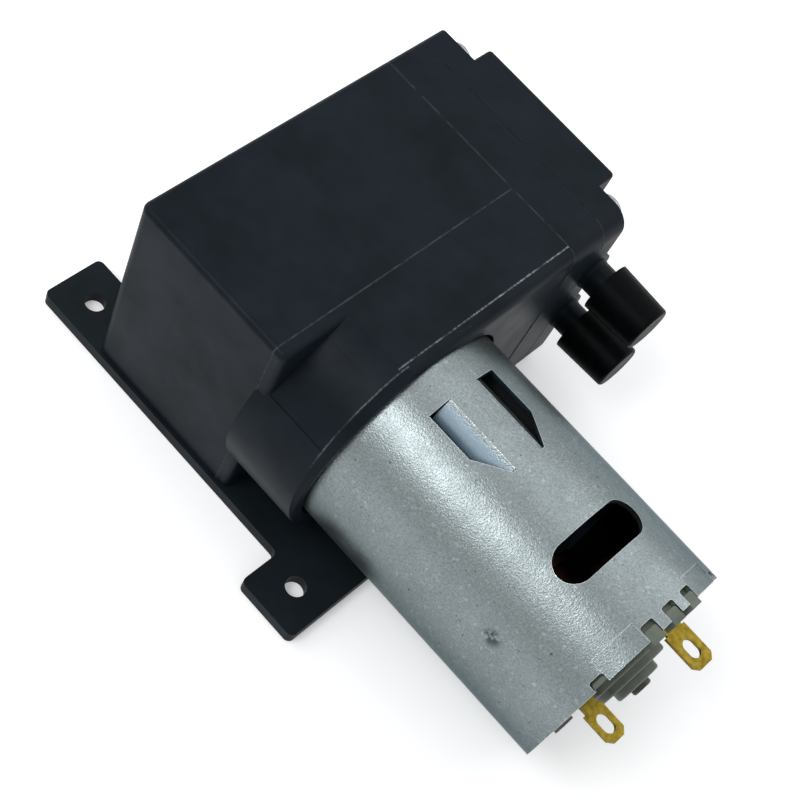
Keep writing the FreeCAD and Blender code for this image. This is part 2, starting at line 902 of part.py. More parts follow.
def diaphragm_clamp():
    y0 = joint_y - throw + rubber_t
    disc = rod_along_y(y0, y0 + clamp_t, clamp_r, rod_x, axis_z)
    disc = disc.makeFillet(clamp_edge_r, [e for e in disc.Edges if near(e.CenterOfMass.y, y0 + clamp_t)])
    sink = cone_along_y(
        y0 + clamp_t - clamp_screw_head_h,
        y0 + clamp_t,
        clamp_screw_r + screw_clearance,
        clamp_screw_head_r + screw_clearance,
        rod_x,
        axis_z,
    )
    hole = rod_along_y(y0 - through, y0 + clamp_t, clamp_screw_r + screw_clearance, rod_x, axis_z)
    return disc.cut(sink.fuse(hole))


def diaphragm_screw():
    top = joint_y - throw + rubber_t + clamp_t
    screw = flat_screw(clamp_screw_r, clamp_screw_l, clamp_screw_head_r, clamp_screw_head_h)
    return placed(screw, (rod_x, top, axis_z), (0, 1, 0))


def connecting_rod():
    # Ring round the crank bearing, stem to the diaphragm and a seat disc at its end
    y_ring = -throw
    y_top = joint_y - throw
    x0 = rod_x - rod_w / 2
    x1 = rod_x + rod_w / 2
    ring = rod_along_x(x0, x1, rod_ring_r, y_ring, axis_z)
    stem = box(x0, x1, y_ring, y_top - rod_disc_t, axis_z - stem_w / 2, axis_z + stem_w / 2)
    disc = rod_along_y(y_top - rod_disc_t, y_top, rod_disc_r, rod_x, axis_z)
    neck = cone_along_y(y_top - 2 * rod_disc_t, y_top - rod_disc_t, stem_w / 2, rod_disc_r, rod_x, axis_z)
    rod = ring.fuse([stem, disc, neck]).removeSplitter()
    bore = rod_along_x(x0 - through, x1 + through, bearing_outer_r + bearing_fit, y_ring, axis_z)
    top = y_top + rubber_t + clamp_t
    hole = rod_along_y(
        top - clamp_screw_l - screw_clearance, top, clamp_screw_r + screw_clearance, rod_x, axis_z
    )
    return rod.cut(bore).cut(hole).removeSplitter()


def crank_bearing():
    y = -throw
    x0 = rod_x - rod_w / 2
    x1 = rod_x + rod_w / 2
    r0 = bearing_bore_r
    r1 = bearing_outer_r
    mid_r = (r0 + r1) / 2
    inner = turned_about_x([(x0, r0), (x1, r0), (x1, r0 + race_t), (x0, r0 + race_t)], y)
    outer = turned_about_x([(x0, r1 - race_t), (x1, r1 - race_t), (x1, r1), (x0, r1)], y)
    track = Part.makeTorus(mid_r, ball_r + bearing_skin, V(rod_x, y, axis_z), V(1, 0, 0))
    pieces = [inner.cut(track), outer.cut(track)]
    for i in range(ball_count):
        a = 2 * math.pi * i / ball_count
        pieces.append(
            Part.makeSphere(ball_r, V(rod_x, y + mid_r * math.cos(a), axis_z + mid_r * math.sin(a)))
        )
    return together(pieces)


def eccentric():
    # Hub on the shaft, counterweight, and the offset journal inside the crank bearing
    journal_x0 = rod_x - rod_w / 2
    journal_x1 = rod_x + rod_w / 2 + shoulder_gap
    journal = rod_along_x(journal_x0, journal_x1, bearing_bore_r - bearing_fit, -throw)
    weight = sector(journal_x1, journal_x1 + weight_t, weight_r, 0.0, weight_half_angle)
    hub = rod_along_x(journal_x1, hub_x1, hub_r)
    piece = journal.fuse([hub, weight]).removeSplitter()
    piece = piece.cut(rod_along_x(journal_x0 - through, hub_x1 + through, shaft_r + bearing_skin))
    spot = (journal_x1 + weight_t + hub_x1) / 2
    hole_r = set_screw_r + screw_clearance
    return piece.cut(rod_along_z(axis_z, axis_z + hub_r + through, hole_r, spot, 0)).removeSplitter()


def set_screw():
    journal_x1 = rod_x + rod_w / 2 + shoulder_gap
    spot = (journal_x1 + weight_t + hub_x1) / 2
    z0 = axis_z + shaft_r + bearing_skin
    screw = rod_along_z(z0, z0 + set_screw_l, set_screw_r, spot, 0)
    socket = Part.Face(
        Part.makePolygon(
            [
                V(
                    spot + set_screw_hex / 2 * math.cos(math.radians(60 * i)),
                    set_screw_hex / 2 * math.sin(math.radians(60 * i)),
                    z0 + set_screw_l,
                )
                for i in range(7)
            ]
        )
    )
    return screw.cut(socket.extrude(V(0, 0, -recess_depth)))


def louvre_outline(side, shrink, z0, z1):
    # Cut line of one louvre seen from above, mirrored about the vent's middle line
    hinge = louvre_hinge_y
    points = [
        (louvre_x0 + shrink, hinge),
        (louvre_x1 - shrink, hinge),
        (louvre_x1 - shrink, louvre_neck_y),
        (louvre_step_x - shrink, louvre_free_y - shrink),
        (louvre_x0 + shrink, louvre_free_y - shrink),
    ]
    if shrink:
        points[0] = (louvre_x0 + shrink, hinge - louvre_root)
        points[1] = (louvre_x1 - shrink, hinge - louvre_root)
    corners = [V(x, louvre_mid_y + side * y, z0) for x, y in points]
    return Part.Face(Part.makePolygon(corners + corners[:1])).extrude(V(0, 0, z1 - z0))


def rounded_slot():
    # Vent across the top of the can, cut straight down with round ends
    y_mid, z_mid = polar(can_r, slot_mid_angle)
    half_y = can_r * math.sin(math.radians(slot_half_angle))
    z0 = axis_z + can_r / 2
    z1 = axis_z + can_r + through
    bar = box(slot_x - slot_half_w, slot_x + slot_half_w, y_mid - half_y, y_mid + half_y, z0, z1)
    ends = [rod_along_z(z0, z1, slot_half_w, slot_x, y_mid + s * half_y) for s in (-1, 1)]
    return bar.fuse(ends)


def rim_notch(angle, x0, half_w, r0, r1):
    # Radial block, open at the rim, its two inner corners rounded
    tool = box(x0, can_x1 + through, -half_w, half_w, axis_z + r0, axis_z + r1)
    tool = soften(
        tool,
        notch_corner_r,
        lambda c, length: near(c.x, x0) and near(abs(c.y), half_w),
    )
    tool.rotate(V(0, 0, axis_z), V(1, 0, 0), angle - 90.0)
    return tool


def rim_notch_spots():
    # The angle of each notch, where it starts, and where its tab starts and ends
    spots = []
    for angle in notch_angles:
        spots.append((angle, notch_x0, notch_x0 + bell_tab_gap, bell_tab_x1))
    for angle in low_notch_angles:
        spots.append((angle, low_notch_x0, low_notch_x0 + bell_low_tab_gap, bell_x1))
    return spots


def motor_can():
    solid = rod_along_x(motor_face_x, can_x1, can_r)
    solid = solid.makeFillet(
        can_shoulder_r, [e for e in solid.Edges if near(e.CenterOfMass.x, motor_face_x)]
    )
    hollow = rod_along_x(motor_face_x + can_wall, can_x1 + through, can_r - can_wall)
    front_x = motor_face_x + can_wall
    hollow = hollow.makeFillet(
        can_shoulder_r - can_wall / 2, [e for e in hollow.Edges if near(e.CenterOfMass.x, front_x)]
    )
    can = solid.cut(hollow)
    tongues = []
    for side in (-1, 1):
        z0 = axis_z + can_r / 2
        z1 = axis_z + can_r + through
        tongue = can.common(louvre_outline(side, louvre_cut, z0, z1))
        hinge_y = louvre_mid_y + side * louvre_hinge_y
        hinge_z = axis_z + math.sqrt((can_r - can_wall / 2) ** 2 - hinge_y ** 2)
        tongue.rotate(V(0, hinge_y, hinge_z), V(1, 0, 0), -side * louvre_bend)
        tongues.append(tongue)
        can = can.cut(louvre_outline(side, 0, z0, z1))
    can = can.fuse(tongues).cut(rounded_slot())
    for angle, x0, tab_x0, tab_x1 in rim_notch_spots():
        can = can.cut(rim_notch(angle, x0, notch_w / 2, can_r - 2 * can_wall, can_r + through))
    for angle in crimp_angles:
        pad = arc_shell(
            crimp_x0,
            can_x1 + through,
            can_r - crimp_depth,
            can_r + through,
            angle,
            crimp_half_angle,
        )
        can = can.cut(pad)
    boss = rod_along_x(boss_x0, motor_face_x + can_wall, boss_r)
    boss = boss.makeFillet(can_wall / 2, [e for e in boss.Edges if near(e.CenterOfMass.x, boss_x0)])
    can = can.fuse(boss)
    seat_r = bearing_r + bearing_skin
    can = can.cut(rod_along_x(front_bearing_x0, motor_face_x + through, seat_r))
    can = can.cut(rod_along_x(boss_x0 - through, motor_face_x, shaft_r + can_wall))
    for y, z in motor_screw_spots():
        hole_r = motor_screw_r + screw_clearance
        can = can.cut(rod_along_x(motor_face_x - through, motor_face_x + through, hole_r, y, z))
    return can.removeSplitter()


def bushing(x0):
    ring = rod_along_x(x0, x0 + bearing_l, bearing_r)
    ring = ring.makeChamfer(bearing_edge, [e for e in ring.Edges if not near(e.Length, bearing_l)])
    return ring.cut(rod_along_x(x0 - through, x0 + bearing_l + through, shaft_r + shaft_fit))


def front_bearing():
    return bushing(front_bearing_x0)


def rear_bearing():
    return bushing(rear_bearing_x0)


def magnets():
    pieces = []
    for mid in (0.0, 180.0):
        arc = arc_shell(magnet_x0, magnet_x1, magnet_inner_r, magnet_outer_r, mid, magnet_half_angle)
        arc = arc.makeChamfer(
            magnet_edge_r,
            [
                e
                for e in arc.Edges
                if near(e.Length, magnet_x1 - magnet_x0)
                and math.hypot(e.CenterOfMass.y, e.CenterOfMass.z - axis_z) < magnet_outer_r - magnet_edge_r
            ],
        )
        pieces.append(arc)
    return together(pieces)


def magnet_clip():
    # Spring strip that pushes the two magnets apart along the bottom of the can
    strip = arc_shell(clip_x0, clip_x1, magnet_outer_r - clip_t, magnet_outer_r, 270.0, clip_half_angle)
    ends = []
    for side in (-1, 1):
        mid = 270.0 + side * (clip_half_angle - clip_end_half_angle)
        ends.append(
            arc_shell(
                clip_x0, clip_x1, magnet_inner_r + clip_t, magnet_outer_r, mid, clip_end_half_angle
            )
        )
    return strip.fuse(ends).removeSplitter()


def terminal_slots(x0, x1):
    # Slots that the roots of the two blades pass through
    slots = []
    for side, width, reach, eye_inset in terminal_blades:
        y = side * terminal_y
        z = axis_z + terminal_dz
        half = width / 2 - terminal_root_cut + bell_gap
        rise = terminal_t / 2 + bell_gap
        slots.append(box(x0, x1, y - half, y + half, z - rise, z + rise))
    return together(slots)


def end_bell():
    plug_r = can_r - can_wall - bell_gap
    body = rod_along_x(bell_x0, bell_x1, plug_r)
    pieces = []
    for angle, x0, tab_x0, tab_x1 in rim_notch_spots():
        tab = rim_notch(
            angle,
            tab_x0,
            notch_w / 2 - bell_gap,
            bell_tab_r - bell_tab_depth,
            bell_tab_r,
        )
        pieces.append(tab.common(rod_along_x(x0, tab_x1, can_r)))
    for r, x1 in (
        (bell_base_r, bell_base_x1),
        (bell_hub_r, bell_hub_x1),
        (bell_boss_r, bell_boss_x1),
    ):
        drum = rod_along_x(bell_x0, x1, r)
        pieces.append(drum.makeFillet(bell_edge_r, [e for e in drum.Edges if near(e.CenterOfMass.x, x1)]))
    for i in range(4):
        y, z = polar(bell_post_circle_r, 45.0 + 90.0 * i)
        pieces.append(rod_along_x(card_x0 + card_t, bell_x0 + bell_post_sink, bell_post_r, y, z))
    body = body.fuse(pieces)
    body = body.cut(rod_along_x(bell_x0 - through, bell_hub_x1 - bell_wall, bearing_r + bearing_skin))
    body = body.cut(rod_along_x(bell_x0, bell_boss_x1 + through, shaft_r + bell_gap))
    return body.cut(terminal_slots(bell_x0 - through, bell_boss_x1)).removeSplitter()


def brush_card():
    card = rod_along_x(card_x0, card_x0 + card_t, card_r)
    card = card.cut(rod_along_x(card_x0 - through, card_x0 + card_t + through, card_bore_r))
    return card.cut(terminal_slots(card_x0 - through, card_x0 + card_t + through))


def brushes():
    x = brush_mid_x
    pieces = []
    for side in (-1, 1):
        y0 = comm_r + brush_gap
        block = box(
            x - brush_w / 2,
            x + brush_w / 2,
            y0,
            y0 + brush_l,
            axis_z - brush_h / 2,
            axis_z + brush_h / 2,
        )
        block = block.cut(rod_along_x(x - brush_w, x + brush_w, comm_r + brush_gap))
        pieces.append(block if side > 0 else block.mirror(V(0, 0, 0), V(0, 1, 0)))
    return together(pieces)


def brush_holders():
    # Open square tubes on the card that guide the brushes, each with a stop at its outer end
    x = brush_mid_x
    gap = brush_gap
    pieces = []
    for side in (-1, 1):
        y0 = comm_r + holder_gap
        outer = box(
            x - brush_w / 2 - gap - holder_t,
            card_x0,
            y0,
            y0 + holder_l,
            axis_z - brush_h / 2 - gap - holder_t,
            axis_z + brush_h / 2 + gap + holder_t,
        )
        inner = box(
            x - brush_w / 2 - gap,
            x + brush_w / 2 + gap,
            y0 - through,
            y0 + holder_l - holder_t,
            axis_z - brush_h / 2 - gap,
            axis_z + brush_h / 2 + gap,
        )
        tube = outer.cut(inner)
        pieces.append(tube if side > 0 else tube.mirror(V(0, 0, 0), V(0, 1, 0)))
    return together(pieces)


def terminals():
    # Flat blades through the end bell, each with an eye near its tip
    pieces = []
    for side, width, reach, eye_inset in terminal_blades:
        tip_x = terminal_shoulder_x + reach
        eye_x = tip_x - eye_inset
        y = side * terminal_y
        z = axis_z + terminal_dz
        z0 = z - terminal_t / 2
        z1 = z + terminal_t / 2
        half = width / 2
        root_half = half - terminal_root_cut
        blade = box(terminal_shoulder_x, tip_x, y - half, y + half, z0, z1)
        blade = blade.makeChamfer(
            terminal_chamfer,
            [e for e in blade.Edges if near(e.CenterOfMass.x, tip_x) and near(e.Length, terminal_t)],
        )
        blade = blade.fuse(box(card_x0, tip_x - half, y - root_half, y + root_half, z0, z1))
        run = (terminal_hole_l - terminal_hole_w) / 2
        half_hole = terminal_hole_w / 2
        z_low = z - through
        z_high = z + through
        eye = box(eye_x - run, eye_x + run, y - half_hole, y + half_hole, z_low, z_high)
        ends = [rod_along_z(z_low, z_high, half_hole, eye_x + s * run, y) for s in (-1, 1)]
        pieces.append(blade.cut(eye.fuse(ends)).removeSplitter())
    return together(pieces)


def shaft():
    bar = rod_along_x(shaft_x0, shaft_x1, shaft_r)
    return bar.makeChamfer(shaft_edge, [e for e in bar.Edges if near(e.Length, 2 * math.pi * shaft_r)])


def shaft_hole(x0, x1):
    return rod_along_x(x0 - through, x1 + through, shaft_r + bearing_skin)


def armature_core():
    hub = rod_along_x(core_x0, core_x1, core_hub_r)
    tooth = box(core_x0, core_x1, 0, core_r - pole_face_t, axis_z - pole_w / 2, axis_z + pole_w / 2)
    face = arc_shell(core_x0, core_x1, core_r - pole_face_t, core_r, 0.0, pole_half_angle)
    root = arc_shell(
        core_x0, core_x1, core_r - pole_face_t - pole_root_t, core_r, 0.0, pole_root_half_angle
    )
    poles = []
    for piece in (tooth, face, root):
        poles += around_axis(piece, pole_count)
    core = hub.fuse(poles).removeSplitter()
    return core.cut(shaft_hole(core_x0, core_x1))


def windings():
    pieces = []
    x0 = core_x0 - coil_x_over
    x1 = core_x1 + coil_x_over
    corners = [
        V(x0, coil_r0, axis_z - coil_half_w0),
        V(x0, coil_r0, axis_z + coil_half_w0),
        V(x0, coil_r1, axis_z + coil_half_w1),
        V(x0, coil_r1, axis_z - coil_half_w1),
    ]
    coil = Part.Face(Part.makePolygon(corners + corners[:1])).extrude(V(x1 - x0, 0, 0))
    ends = [e for e in coil.Edges if near(e.CenterOfMass.x, x0) or near(e.CenterOfMass.x, x1)]
    coil = coil.makeFillet(coil_edge_r, ends)
    coil = coil.cut(
        box(
            core_x0 - coil_gap,
            core_x1 + coil_gap,
            0,
            core_r,
            axis_z - pole_w / 2 - coil_gap,
            axis_z + pole_w / 2 + coil_gap,
        )
    )
    face = arc_shell(
        core_x0 - coil_gap,
        core_x1 + coil_gap,
        core_r - pole_face_t - pole_root_t - coil_gap,
        core_r + through,
        0.0,
        pole_half_angle,
    )
    coil = coil.cut(face)
    return together(around_axis(coil, pole_count))


def commutator_hub():
    hub = rod_along_x(comm_x0, comm_x1, comm_hub_r)
    return hub.cut(shaft_hole(comm_x0, comm_x1))


def commutator_bars():
    ring = rod_along_x(comm_x0, comm_x1, comm_r)
    ring = ring.fuse(rod_along_x(comm_x0, comm_x0 + riser_t, riser_r))
    ring = ring.cut(rod_along_x(comm_x0 - through, comm_x1 + through, comm_hub_r + bearing_skin))
    slot = box(
        comm_x0 - through,
        comm_x1 + through,
        0,
        riser_r + through,
        axis_z - comm_slot_w / 2,
        axis_z + comm_slot_w / 2,
    )
    return ring.cut(together(around_axis(slot, pole_count, 60.0)))


def shaft_washers():
    pieces = []
    rear_x1 = rear_bearing_x0 - shoulder_gap
    for x0 in (front_bearing_x0 + bearing_l + shoulder_gap, rear_x1 - washer_t):
        ring = rod_along_x(x0, x0 + washer_t, washer_r)
        pieces.append(ring.cut(shaft_hole(x0, x0 + washer_t)))
    return together(pieces)


nodes = {
    "foot_plate": foot_plate,
    "plate_screws": plate_screws,
    "crankcase": crankcase,
    "case_screws": case_screws,
    "motor_bracket": motor_bracket,
    "motor_screws": motor_screws,
    "valve_body": valve_body,
    "inlet_valve": inlet_valve,
    "outlet_valve": outlet_valve,
    "head_gasket": head_gasket,
    "head_cover": head_cover,
    "head_screws": head_screws,
    "inlet_cap": lambda: port_cap(-1),
    "outlet_cap": lambda: port_cap(1),
    "diaphragm": diaphragm,
    "diaphragm_clamp": diaphragm_clamp,
    "diaphragm_screw": diaphragm_screw,
    "connecting_rod": connecting_rod,
    "crank_bearing": crank_bearing,
    "eccentric": eccentric,
    "set_screw": set_screw,
    "motor_can": motor_can,
    "front_bearing": front_bearing,
    "rear_bearing": rear_bearing,
    "magnets": magnets,
    "magnet_clip": magnet_clip,
    "end_bell": end_bell,
    "brush_card": brush_card,
    "brushes": brushes,
    "brush_holders": brush_holders,
    "terminals": terminals,
    "shaft": shaft,
    "armature_core": armature_core,
    "windings": windings,
    "commutator_hub": commutator_hub,
    "commutator_bars": commutator_bars,
    "shaft_washers": shaft_washers,
}

os.makedirs("parts", exist_ok=True)
for name, build in nodes.items():
    shape = build()
    shape.exportStep("parts/" + name + ".step")
    print(name, "solids", len(shape.Solids), "valid", shape.isValid(), "volume", round(shape.Volume, 1))
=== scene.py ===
# %% [markdown]
# # A small diaphragm vacuum pump
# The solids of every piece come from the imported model. This lesson gives them their
# finishes and adds the wire on the armature, which a solid can't show well. It starts by
# loading the frame and keeping its box, because the dressed part has to stay inside it.

# %% Load the frame
import math

import bpy
from mathutils import Matrix, Vector


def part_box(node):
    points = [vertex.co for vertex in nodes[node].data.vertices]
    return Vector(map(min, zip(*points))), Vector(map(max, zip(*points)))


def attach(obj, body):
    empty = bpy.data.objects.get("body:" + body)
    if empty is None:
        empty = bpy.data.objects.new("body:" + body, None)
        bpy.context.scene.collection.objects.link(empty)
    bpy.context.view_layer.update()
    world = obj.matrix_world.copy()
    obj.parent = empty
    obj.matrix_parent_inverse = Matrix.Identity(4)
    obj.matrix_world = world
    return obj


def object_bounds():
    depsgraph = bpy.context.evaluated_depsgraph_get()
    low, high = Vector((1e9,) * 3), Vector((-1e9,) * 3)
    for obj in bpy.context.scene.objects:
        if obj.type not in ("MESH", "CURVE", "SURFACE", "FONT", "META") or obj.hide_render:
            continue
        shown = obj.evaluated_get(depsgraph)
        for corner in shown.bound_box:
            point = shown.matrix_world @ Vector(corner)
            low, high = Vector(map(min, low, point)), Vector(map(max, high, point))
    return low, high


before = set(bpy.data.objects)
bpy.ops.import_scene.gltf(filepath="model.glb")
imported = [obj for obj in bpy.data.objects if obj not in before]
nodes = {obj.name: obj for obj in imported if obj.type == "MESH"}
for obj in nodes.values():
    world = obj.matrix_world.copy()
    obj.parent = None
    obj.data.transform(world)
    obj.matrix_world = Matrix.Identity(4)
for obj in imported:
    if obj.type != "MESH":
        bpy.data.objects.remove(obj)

cad_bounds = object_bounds()
print("nodes", len(nodes), "box", cad_bounds)

# %% [markdown]
# ## Colours and shader nodes
# Colours are written as sRGB hex values, the way a paint chip is read on a screen, and
# one function turns them into the linear values that the shader works with. One more
# function adds a node with its settings, its links and, for a colour ramp, its stops, so
# that each finish below reads as a list of what it is made of.

# %% Helpers for colours and nodes
MM = 0.001
PER_MM = 1.0 / MM
QUARTER_TURN = math.pi / 2
FULL_TURN = math.tau


def linear(hex_value):
    channels = [int(hex_value[i:i + 2], 16) / 255 for i in (1, 3, 5)]
    return [c / 12.92 if c <= 0.04045 else ((c + 0.055) / 1.055) ** 2.4 for c in channels] + [1.0]


def add(tree, kind, inputs=(), stops=(), **settings):
    # inputs are pairs of a socket's name or number and a value or another node's output;
    # stops are pairs of a place on a colour ramp and its hex colour
    made = tree.nodes.new(kind)
    for key, value in settings.items():
        setattr(made, key, value)
    for socket, value in inputs:
        if isinstance(value, bpy.types.NodeSocket):
            tree.links.new(value, made.inputs[socket])
        else:
            made.inputs[socket].default_value = value
    for i, (place, colour) in enumerate(stops):
        elements = made.color_ramp.elements
        element = elements[i] if i < 2 else elements.new(place)
        element.position = place
        element.color = linear(colour)
    return made


def new_finish(name):
    # A material, its tree, its main shader and the coordinates of the piece
    material = bpy.data.materials.new(name)
    material.use_nodes = True
    tree = material.node_tree
    shader = next(n for n in tree.nodes if n.type == "BSDF_PRINCIPLED")
    place = add(tree, "ShaderNodeTexCoord").outputs["Object"]
    return material, tree, shader, place


def dress(names, material):
    for name in names:
        slots = nodes[name].data.materials
        slots.clear()
        slots.append(material)
    print(material.name, "on", ", ".join(names))


print("white is", linear("#ffffff"), "and mid grey is", linear("#808080"))

# %% [markdown]
# ## Black ABS for the pump body
# The crankcase, the motor bracket and the head are injection moulded in black ABS. The
# mould was spark-eroded, which leaves a fine, even grain, and the plastic is a cold black
# that turns dark blue-grey where it meets the light at a low angle. Years of handling
# leave faint cloudy patches. The real grain is about 0.1 mm; it is drawn at 0.3 mm, so
# that it shows. The shine of ABS is that of its index of about 1.5, but the grain breaks
# most of it up, and so the specular level is low.

# %% Moulded ABS
def moulded_abs(name, dark, light, grain_mm, rough, shine=0.2, patch_mm=9.0):
    material, tree, shader, place = new_finish(name)
    patches = add(
        tree,
        "ShaderNodeTexNoise",
        [(0, place), ("Scale", PER_MM / patch_mm), ("Detail", 5.0), ("Roughness", 0.62)],
    ).outputs[0]
    grain = add(
        tree,
        "ShaderNodeTexNoise",
        [(0, place), ("Scale", PER_MM / grain_mm), ("Detail", 3.0), ("Roughness", 0.6)],
    ).outputs[0]
    tone = add(tree, "ShaderNodeValToRGB", [(0, patches)], [(0.3, dark), (0.7, light)])
    gloss = add(
        tree,
        "ShaderNodeMapRange",
        [(0, patches), (1, 0.3), (2, 0.7), (3, rough + 0.06), (4, rough - 0.05)],
    )
    relief = add(
        tree, "ShaderNodeBump", [("Strength", 0.5), ("Distance", 0.015 * MM), ("Height", grain)]
    )
    tree.links.new(tone.outputs[0], shader.inputs["Base Color"])
    tree.links.new(gloss.outputs[0], shader.inputs["Roughness"])
    tree.links.new(relief.outputs[0], shader.inputs["Normal"])
    shader.inputs["IOR"].default_value = 1.5
    shader.inputs["Specular IOR Level"].default_value = shine
    return material, tree, shader, place, tone.outputs[0]


body_abs, tree, shader, place, body_tone = moulded_abs(
    "black_abs_body", "#0e151b", "#171f26", 0.3, 0.42, 0.07
)
plate_abs = moulded_abs("black_abs_foot_plate", "#10171b", "#1a2126", 0.4, 0.5, 0.08)[0]
dress(["crankcase", "valve_body", "head_cover", "motor_bracket"], body_abs)
dress(["foot_plate"], plate_abs)

# %% [markdown]
# ## Dust in the joints and a scuffed edge
# The three parts of the body meet in fine grooves that hold a little grey dust, and the
# edge above the motor has been rubbed pale along its whole length. Both are found by
# their place on the body, and noise breaks them up, so that they don't look ruled.

# %% Joint dust and edge wear
# The places of the joints, the side wall, the top and the worn edge, from the solids
joint_y = 29.2 * MM
layer_y = 36.5 * MM
seam_x = 6.6 * MM
case_y = -18.4 * MM
top_z = 39.95 * MM
worn_x = 18.45 * MM
groove_w = 0.13 * MM
rub_w = 0.12 * MM
edge_depth = 0.15 * MM
axes = add(tree, "ShaderNodeSeparateXYZ", [(0, place)]).outputs
near_joint = add(
    tree, "ShaderNodeMath", [(0, axes[1]), (1, joint_y), (2, groove_w)], operation="COMPARE"
)
near_layer = add(
    tree, "ShaderNodeMath", [(0, axes[1]), (1, layer_y), (2, groove_w)], operation="COMPARE"
)
near_seam = add(
    tree, "ShaderNodeMath", [(0, axes[0]), (1, seam_x), (2, groove_w)], operation="COMPARE"
)
on_case = add(tree, "ShaderNodeMath", [(0, axes[1]), (1, joint_y)], operation="LESS_THAN")
in_wall = add(tree, "ShaderNodeMath", [(0, axes[1]), (1, case_y)], operation="GREATER_THAN")
on_top = add(
    tree, "ShaderNodeMath", [(0, axes[2]), (1, top_z - edge_depth)], operation="GREATER_THAN"
)
near_edge = add(
    tree, "ShaderNodeMath", [(0, axes[0]), (1, worn_x), (2, rub_w)], operation="COMPARE"
)
seam = add(
    tree,
    "ShaderNodeMath",
    [(0, near_seam.outputs[0]), (1, on_case.outputs[0])],
    operation="MULTIPLY",
)
seam = add(
    tree, "ShaderNodeMath", [(0, seam.outputs[0]), (1, in_wall.outputs[0])], operation="MULTIPLY"
)
faint = add(tree, "ShaderNodeMath", [(0, near_layer.outputs[0]), (1, 0.35)], operation="MULTIPLY")
groove = add(
    tree, "ShaderNodeMath", [(0, near_joint.outputs[0]), (1, seam.outputs[0])], operation="MAXIMUM"
)
groove = add(
    tree, "ShaderNodeMath", [(0, groove.outputs[0]), (1, faint.outputs[0])], operation="MAXIMUM"
)
edge = add(
    tree,
    "ShaderNodeMath",
    [(0, near_edge.outputs[0]), (1, on_case.outputs[0])],
    operation="MULTIPLY",
)
edge = add(
    tree, "ShaderNodeMath", [(0, edge.outputs[0]), (1, on_top.outputs[0])], operation="MULTIPLY"
)

# The same wear follows the bevel of the collar, whose start moves along X with the angle;
# bevel_way points from the motor's axis to where the bevel is widest
axis_z = 20.3 * MM
barrel_r = 20.5 * MM
bevel_x = 1.6 * MM
mouth_x = 20.5 * MM
bevel_way = (0.0, -0.46947, 0.88295)
from_axis = add(
    tree, "ShaderNodeVectorMath", [(0, place), (1, (0.0, 0.0, axis_z))], operation="SUBTRACT"
)
spoke = add(
    tree,
    "ShaderNodeVectorMath",
    [(0, from_axis.outputs[0]), (1, (0.0, 1.0, 1.0))],
    operation="MULTIPLY",
).outputs[0]
reach = add(tree, "ShaderNodeVectorMath", [(0, spoke)], operation="LENGTH").outputs["Value"]
spoke_way = add(tree, "ShaderNodeVectorMath", [(0, spoke)], operation="NORMALIZE").outputs[0]
turn_cos = add(
    tree, "ShaderNodeVectorMath", [(0, spoke_way), (1, bevel_way)], operation="DOT_PRODUCT"
).outputs["Value"]
bevel_start = add(
    tree, "ShaderNodeMath", [(0, turn_cos), (1, -bevel_x), (2, mouth_x)], operation="MULTIPLY_ADD"
)
on_bevel = add(
    tree,
    "ShaderNodeMath",
    [(0, axes[0]), (1, bevel_start.outputs[0]), (2, rub_w)],
    operation="COMPARE",
)
on_barrel = add(
    tree, "ShaderNodeMath", [(0, reach), (1, barrel_r), (2, 0.3 * MM)], operation="COMPARE"
)
near_bevel = add(
    tree, "ShaderNodeMapRange", [(0, turn_cos), (1, 0.6), (2, 0.9), (3, 0.0), (4, 0.42)]
)
rim = add(
    tree,
    "ShaderNodeMath",
    [(0, on_bevel.outputs[0]), (1, on_barrel.outputs[0])],
    operation="MULTIPLY",
)
rim = add(
    tree, "ShaderNodeMath", [(0, rim.outputs[0]), (1, near_bevel.outputs[0])], operation="MULTIPLY"
)
edge = add(tree, "ShaderNodeMath", [(0, edge.outputs[0]), (1, rim.outputs[0])], operation="MAXIMUM")
crumbs = add(
    tree, "ShaderNodeTexNoise", [(0, place), ("Scale", PER_MM / 1.2), ("Detail", 4.0)]
).outputs[0]
rubs = add(
    tree, "ShaderNodeTexNoise", [(0, place), ("Scale", PER_MM / 3.5), ("Detail", 5.0)]
).outputs[0]
dusty = add(tree, "ShaderNodeMapRange", [(0, crumbs), (1, 0.35), (2, 0.6), (3, 0.3), (4, 0.95)])
rubbed = add(tree, "ShaderNodeMapRange", [(0, rubs), (1, 0.38), (2, 0.6), (3, 0.1), (4, 0.95)])
nicks = add(
    tree, "ShaderNodeTexNoise", [(0, place), ("Scale", PER_MM / 0.45), ("Detail", 3.0)]
).outputs[0]
nicked = add(tree, "ShaderNodeMapRange", [(0, nicks), (1, 0.4), (2, 0.6), (3, 0.3), (4, 1.0)])
dust = add(
    tree, "ShaderNodeMath", [(0, groove.outputs[0]), (1, dusty.outputs[0])], operation="MULTIPLY"
)
wear = add(
    tree, "ShaderNodeMath", [(0, edge.outputs[0]), (1, rubbed.outputs[0])], operation="MULTIPLY"
)
wear = add(
    tree, "ShaderNodeMath", [(0, wear.outputs[0]), (1, nicked.outputs[0])], operation="MULTIPLY"
)
dusted = add(
    tree,
    "ShaderNodeMix",
    [("Factor", dust.outputs[0]), (6, body_tone), (7, linear("#454c50"))],
    data_type="RGBA",
).outputs[2]
worn = add(
    tree,
    "ShaderNodeMix",
    [("Factor", wear.outputs[0]), (6, dusted), (7, linear("#8a9195"))],
    data_type="RGBA",
).outputs[2]
tree.links.new(worn, shader.inputs["Base Color"])
print("dust at y", joint_y, layer_y, "and x", seam_x, "wear at x", worn_x)

# %% [markdown]
# ## Soft black vinyl for the caps, rubber inside
# The port caps are dipped vinyl: blacker than the body, smooth, with a soft sheen. The
# diaphragm, valves and gasket are moulded rubber, duller and a little dusty.

